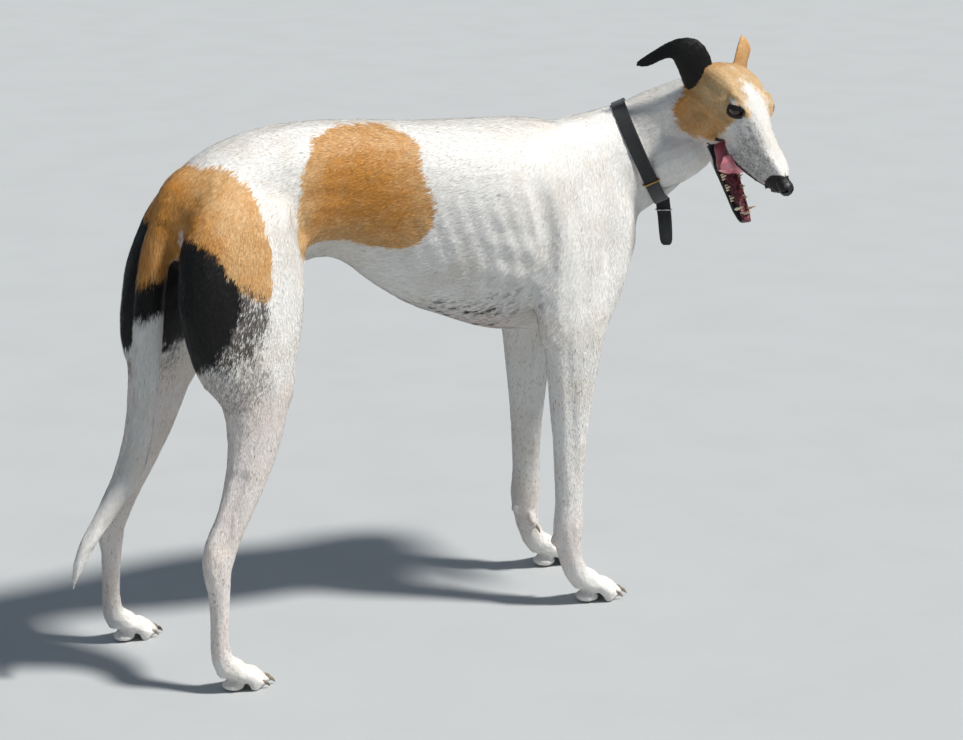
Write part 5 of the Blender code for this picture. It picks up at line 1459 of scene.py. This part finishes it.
def claw(bm, frame_of, start, end, wide, droop):
    start, end = Vector(start), Vector(end)
    way = (end - start).normalized()
    side = way.cross(Vector((0, 0, 1))).normalized()
    over = side.cross(way)
    rings = []
    for step in range(9):
        share = step / 8
        place = start.lerp(end, share) + over * (droop * sin(pi * share))
        size = wide * (1 - share ** 2.2) + 0.0005
        rings.append([frame_of @ (place + side * 0.72 * size * cos(a) + over * size * sin(a))
                      for a in (2 * pi * n / 14 for n in range(14))])
    loft(bm, rings)


def claw_material():
    # Horn: grey-brown with fine lines along it, and darker in cloudy patches
    made, tree, shader = new_material("claw_horn")
    where = add(tree, "TexCoord", out=3)
    drawn = add(tree, "Mapping", {"Vector": where, "Scale": (0.15, 1, 1)}, vector_type="POINT")
    lines = noise(tree, drawn, 0.5, 3.0, 0.6)
    base = blend(tree, lines, colour("#6E6155"), colour("#AB9D8B"))
    base = blend(tree, between(tree, noise(tree, where, 9.0), 0.40, 0.75), base, colour("#4A4038"))
    dress(tree, shader, Base_Color=base, Roughness=between(tree, lines, 0.3, 0.7, 0.30, 0.50),
          Normal=bumped(tree, lines, 0.08))
    return made


def claws_piece():
    bm = bmesh.new()
    for x, y, hand, size in PAWS_AT:
        frame_of = (Matrix.Translation((x, y, 0)) @ Matrix.Rotation(radians(4 * hand), 4, "Z")
                    @ Matrix.Diagonal((size, size * hand, size, 1)))
        for reach, side in TOES:
            claw(bm, frame_of, (reach + 0.004, side, 0.0120), (reach + 0.0155, 1.05 * side, 0.0032), 0.0025, 0.0015)
        if size == 1.0:
            claw(bm, frame_of, (-0.0365, -0.0195, 0.0745), (-0.0300, -0.0230, 0.0620), 0.0021, 0.0009)
    return as_object(bm, "claws", [claw_material()])


claws = claws_piece()
print("claws", len(claws.data.polygons), "faces")

# %% [markdown]
# ## Collar
# The collar is a nylon strap 20 mm wide. Rays to the skin tell how far out the neck is all round, a little
# averaging lets the strap bridge the hollows as a real one does, and its rounded section is carried round. Stitches
# run along both edges. A brass slide sits low on the right and the loose end hangs from a nickel loop.

# %% The band
RINGS = 160
STRAP_THICK = 0.0024


def neck_reach():
    """The distance from the collar's centre to its inner face, by angle from the top towards the dog's left."""
    found = np.zeros(RINGS)
    tree = BVHTree.FromPolygons(POINTS.tolist(), TRIANGLES.tolist())
    for number in range(RINGS):
        angle = 2 * pi * number / RINGS
        for across in (-0.009, 0.0, 0.009):
            way = COLLAR.to_3x3() @ Vector((0, sin(angle), cos(angle)))
            start = COLLAR @ Vector((across, 0, 0))
            hit = tree.ray_cast(start + way * 0.2, -way)
            if hit[0] is not None:
                found[number] = max(found[number], (hit[0] - start).length)
    for _ in range(26):
        near = 0.5 * (np.roll(found, 1) + np.roll(found, -1))
        found = np.maximum(found, near)
    for _ in range(8):
        found = 0.5 * found + 0.25 * (np.roll(found, 1) + np.roll(found, -1))
    return found + 0.0010


REACH = neck_reach()


def on_band(angle, across, out):
    """A place on the band: an angle in turns, metres across it, and metres out from its inner face."""
    number = angle * RINGS
    low = int(number // 1) % RINGS
    share = number % 1
    radius = REACH[low] * (1 - share) + REACH[(low + 1) % RINGS] * share + out
    return COLLAR @ Vector((across, radius * sin(2 * pi * angle), radius * cos(2 * pi * angle)))


def strap_section():
    """Half of a rounded strap's outline, as places across and out, run round."""
    half, thick, edge = COLLAR_WIDTH / 2, STRAP_THICK, 0.0009
    outline = []
    for middle_x, middle_y, first in ((half - edge, thick - edge, 0), (-half + edge, thick - edge, 90),
                                      (-half + edge, edge, 180), (half - edge, edge, 270)):
        for step in range(4):
            turn = radians(first + 30 * step)
            outline.append((middle_x + edge * cos(turn), middle_y + edge * sin(turn)))
        if first in (0, 180):
            way = -1 if first == 0 else 1
            outline += [(way * (-half + edge + (2 * half - 2 * edge) * n / 8), middle_y + (edge if first == 0 else -edge))
                        for n in range(1, 8)]
    return outline


def webbing_material():
    # Nylon webbing: ribs along it and a fine cross weave, lighter where the weave stands up
    made, tree, shader = new_material("collar_webbing")
    flat = add(tree, "UVMap", uv_map="weave")
    split = tree.nodes.new("ShaderNodeSeparateXYZ")
    tree.links.new(flat, split.inputs[0])
    along = maths(tree, "SINE", maths(tree, "MULTIPLY", split.outputs[0], 2 * pi / (1.3 * MM)))
    across = maths(tree, "SINE", maths(tree, "MULTIPLY", split.outputs[1], 2 * pi / (0.9 * MM)))
    weave = between(tree, maths(tree, "MULTIPLY", along, across), -1.0, 1.0)
    where = add(tree, "TexCoord", out=3)
    fuzz = noise(tree, where, 0.35, 3.0, 0.7)
    cloud = noise(tree, where, 14.0, 3.0)
    base = blend(tree, weave, colour("#060708"), colour("#15171A"))
    base = blend(tree, between(tree, cloud, 0.4, 0.75, 0.0, 0.35), base, colour("#25272A"))
    height = maths(tree, "ADD", weave, maths(tree, "MULTIPLY", fuzz, 0.35))
    dress(tree, shader, Base_Color=base, Roughness=between(tree, fuzz, 0.3, 0.7, 0.58, 0.75),
          Normal=bumped(tree, height, 0.16), Sheen_Weight=0.25, Sheen_Roughness=0.5)
    return made


def thread_material():
    # Sewing thread: black polyester, twisted
    made, tree, shader = new_material("collar_thread")
    where = add(tree, "TexCoord", out=3)
    base = blend(tree, noise(tree, where, 0.3), colour("#16171A"), colour("#4A4D52"))
    dress(tree, shader, Base_Color=base, Roughness=0.5, Normal=bumped(tree, noise(tree, where, 0.25), 0.05))
    return made


def metal(name, pale, deep, rough):
    # Worn plated metal: fine scratches, and a duller tone in cloudy patches
    made, tree, shader = new_material(name)
    where = add(tree, "TexCoord", out=3)
    drawn = add(tree, "Mapping", {"Vector": where, "Scale": (0.08, 1, 1)}, vector_type="POINT")
    scratch = noise(tree, drawn, 0.22, 3.0, 0.7)
    cloud = noise(tree, where, 3.5, 3.0)
    base = blend(tree, between(tree, cloud, 0.35, 0.75), colour(pale), colour(deep))
    dress(tree, shader, Base_Color=base, Metallic=1.0, Normal=bumped(tree, scratch, 0.02),
          Roughness=between(tree, scratch, 0.3, 0.7, rough, rough + 0.16))
    return made


WEBBING, THREAD = webbing_material(), thread_material()
BRASS, NICKEL = metal("collar_brass", "#C9A35A", "#7E5F2C", 0.24), metal("collar_nickel", "#D5D6D8", "#8D8F93", 0.18)


def wind(mesh, places):
    """The UV map of a strap, in metres along it and across it, by the place of each point."""
    layer = mesh.uv_layers.new(name="weave")
    ends = np.empty(len(mesh.loops), np.int32)
    mesh.loops.foreach_get("vertex_index", ends)
    layer.uv.foreach_set("vector", np.array(places, np.float32)[ends].ravel())


def band_piece():
    outline = strap_section()
    bm = bmesh.new()
    rings = [[on_band(number / RINGS, x, y) for x, y in outline] for number in range(RINGS)]
    loft(bm, rings, caps=False)
    made = as_object(bm, "collar_strap_band", [WEBBING])
    length = 2 * pi * float(REACH.mean())
    wind(made.data, [(length * abs(2 * number / RINGS - 1), x) for number in range(RINGS) for x, _ in outline])
    return made


def stitch(bm, start, end, out, thick):
    """A short raised thread between two places."""
    way = (end - start).normalized()
    side = way.cross(out).normalized()
    rings = []
    for share, size, rise in ((0.0, 0.5, -0.9), (0.15, 1.0, 0.0), (0.5, 1.0, 0.35), (0.85, 1.0, 0.0), (1.0, 0.5, -0.9)):
        place = start.lerp(end, share) + out * (rise * thick)
        rings.append([place + (side * cos(a) + out * sin(a)) * (thick * size) for a in (pi * n / 3 for n in range(6))])
    loft(bm, rings)


def stitches_piece():
    bm = bmesh.new()
    count = 132
    for number in range(count):
        for across in (-0.0078, 0.0078):
            start = on_band(number / count, across, STRAP_THICK)
            end = on_band((number + 0.68) / count, across, STRAP_THICK)
            stitch(bm, start, end, (start - COLLAR_AT).normalized(), 0.00034)
    return as_object(bm, "collar_stitches", [THREAD])


band, stitches = band_piece(), stitches_piece()
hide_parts("collar_band")
print("band", len(band.data.polygons), "faces, round", round(2 * pi * float(REACH.mean()), 3), "m")

# %% The brass slide, the loose end and its loop
KEEPER_TURN = 238 / 360


def frame_link(place, along, across, out, size, wire):
    """A rounded rectangular wire link round a strap: its middle, its three directions and its sizes inside."""
    long, wide = size
    bm = bmesh.new()
    rings = []
    path = []
    corner = min(long, wide) * 0.42
    for sx, sy, first in ((1, 1, 0), (-1, 1, 90), (-1, -1, 180), (1, -1, 270)):
        for step in range(6):
            turn = radians(first + 18 * step)
            path.append((sx * (wide / 2 - corner) + corner * cos(turn), sy * (long / 2 - corner) + corner * sin(turn)))
    count = len(path)
    for number, (x, y) in enumerate(path):
        after, before = path[(number + 1) % count], path[number - 1]
        way = (across * (after[0] - before[0]) + out * (after[1] - before[1])).normalized()
        side = way.cross(along).normalized()
        middle = place + across * x + out * y
        rings.append([middle + (side * cos(a) + along * sin(a)) * wire for a in (pi * n / 6 for n in range(12))])
    loft(bm, rings, caps=False)
    return bm


def slide_piece():
    spot = on_band(KEEPER_TURN, 0, STRAP_THICK / 2)
    out = (spot - COLLAR_AT).normalized()
    along = COLLAR_FORE.cross(out).normalized()
    bm = frame_link(spot, along, COLLAR_FORE, out, (0.0052, COLLAR_WIDTH + 0.0030), 0.0013)
    return as_object(bm, "collar_slide", [BRASS])


STRAP_ROWS = (((0.3930, 0.0430, 0.5640), 0.0102), ((0.3942, 0.0428, 0.5560), 0.0102), ((0.3951, 0.0423, 0.548), 0.0102),
              ((0.3964, 0.0413, 0.536), 0.0100), ((0.3976, 0.0413, 0.525), 0.0099), ((0.3985, 0.0408, 0.512), 0.0096),
              ((0.3991, 0.0403, 0.502), 0.0090), ((0.3996, 0.0403, 0.4965), 0.0076), ((0.3998, 0.0403, 0.4935), 0.0048))


def strap_piece():
    table = np.array([(*place, wide) for place, wide in STRAP_ROWS])
    step = np.linspace(0, len(table) - 1, 41)
    rows = np.stack([np.interp(step, range(len(table)), column) for column in table.T], 1)
    side = Vector((0.86, -0.51, 0)).normalized()
    bm = bmesh.new()
    rings, places = [], []
    for number, row in enumerate(rows):
        way = Vector(rows[min(number + 1, 40), :3] - rows[max(number - 1, 0), :3]).normalized()
        out = side.cross(way).normalized()
        bow = 0.0010 * sin(number * 0.16)
        ring = []
        for x, y in strap_section():
            across = x / (COLLAR_WIDTH / 2) * row[3]
            ring.append(Vector(row[:3]) + side * across + out * (y - STRAP_THICK / 2 + bow))
            places.append((number * 0.00175, x))
        rings.append(ring)
    loft(bm, rings)
    made = as_object(bm, "collar_loose_end", [WEBBING])
    wind(made.data, places)
    return made


def strap_stitches():
    bm = bmesh.new()
    side = Vector((0.86, -0.51, 0)).normalized()
    out = side.cross(Vector((0, 0, -1))).normalized()
    for number in range(12):
        for across in (-0.0074, 0.0074):
            for face in (1, -1):
                share = number / 12
                row = [Vector(a).lerp(Vector(b), 0.5) for (a, _), (b, _) in ((STRAP_ROWS[3], STRAP_ROWS[3]),
                                                                           (STRAP_ROWS[6], STRAP_ROWS[6]))]
                start = row[0].lerp(row[1], share) + side * across + out * face * (STRAP_THICK / 2)
                end = row[0].lerp(row[1], share + 0.055) + side * across + out * face * (STRAP_THICK / 2)
                stitch(bm, start, end, out * face, 0.00028)
    return as_object(bm, "collar_end_stitches", [THREAD])


slide, loose_end, end_stitches = slide_piece(), strap_piece(), strap_stitches()
side = Vector((0.86, -0.51, 0)).normalized()
loop = as_object(frame_link(Vector((0.3953, 0.0422, 0.546)), Vector((0, 0, 1)), side,
                            side.cross(Vector((0, 0, 1))), (0.0050, 0.0225), 0.0012), "collar_ring", [NICKEL])
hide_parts("collar_keeper")
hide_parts("collar_strap")
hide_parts("collar_loop")
SMALL_PIECES = [*eyes, nose, teeth, tongue, claws, band, stitches, slide, loose_end, end_stitches, loop]
print("small pieces", len(SMALL_PIECES))

# %% [markdown]
# ## Finishing
# The skin stands for the flesh solids, and every piece rides on the one body. The floor is a plain pale screed.


# %% Floor and riding
def floor_material():
    # Studio floor: matt pale paint with a faint mottle
    made, tree, shader = new_material("studio_floor")
    where = add(tree, "TexCoord", out=3)
    cloud = noise(tree, where, 180.0, 3.0)
    base = blend(tree, between(tree, cloud, 0.35, 0.7), colour("#B5B8B9"), colour("#B2B5B6"))
    dress(tree, shader, Base_Color=base, Roughness=between(tree, cloud, 0.3, 0.7, 0.78, 0.88),
          Normal=bumped(tree, noise(tree, where, 4.0, 3.0), 0.05))
    return made


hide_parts(*FLESH)
for piece in [skin, *coats, *SMALL_PIECES]:
    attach(piece, "root")
bm = bmesh.new()
bmesh.ops.create_grid(bm, x_segments=1, y_segments=1, size=6)
floor = as_object(bm, "floor", [floor_material()])

bpy.context.view_layer.update()
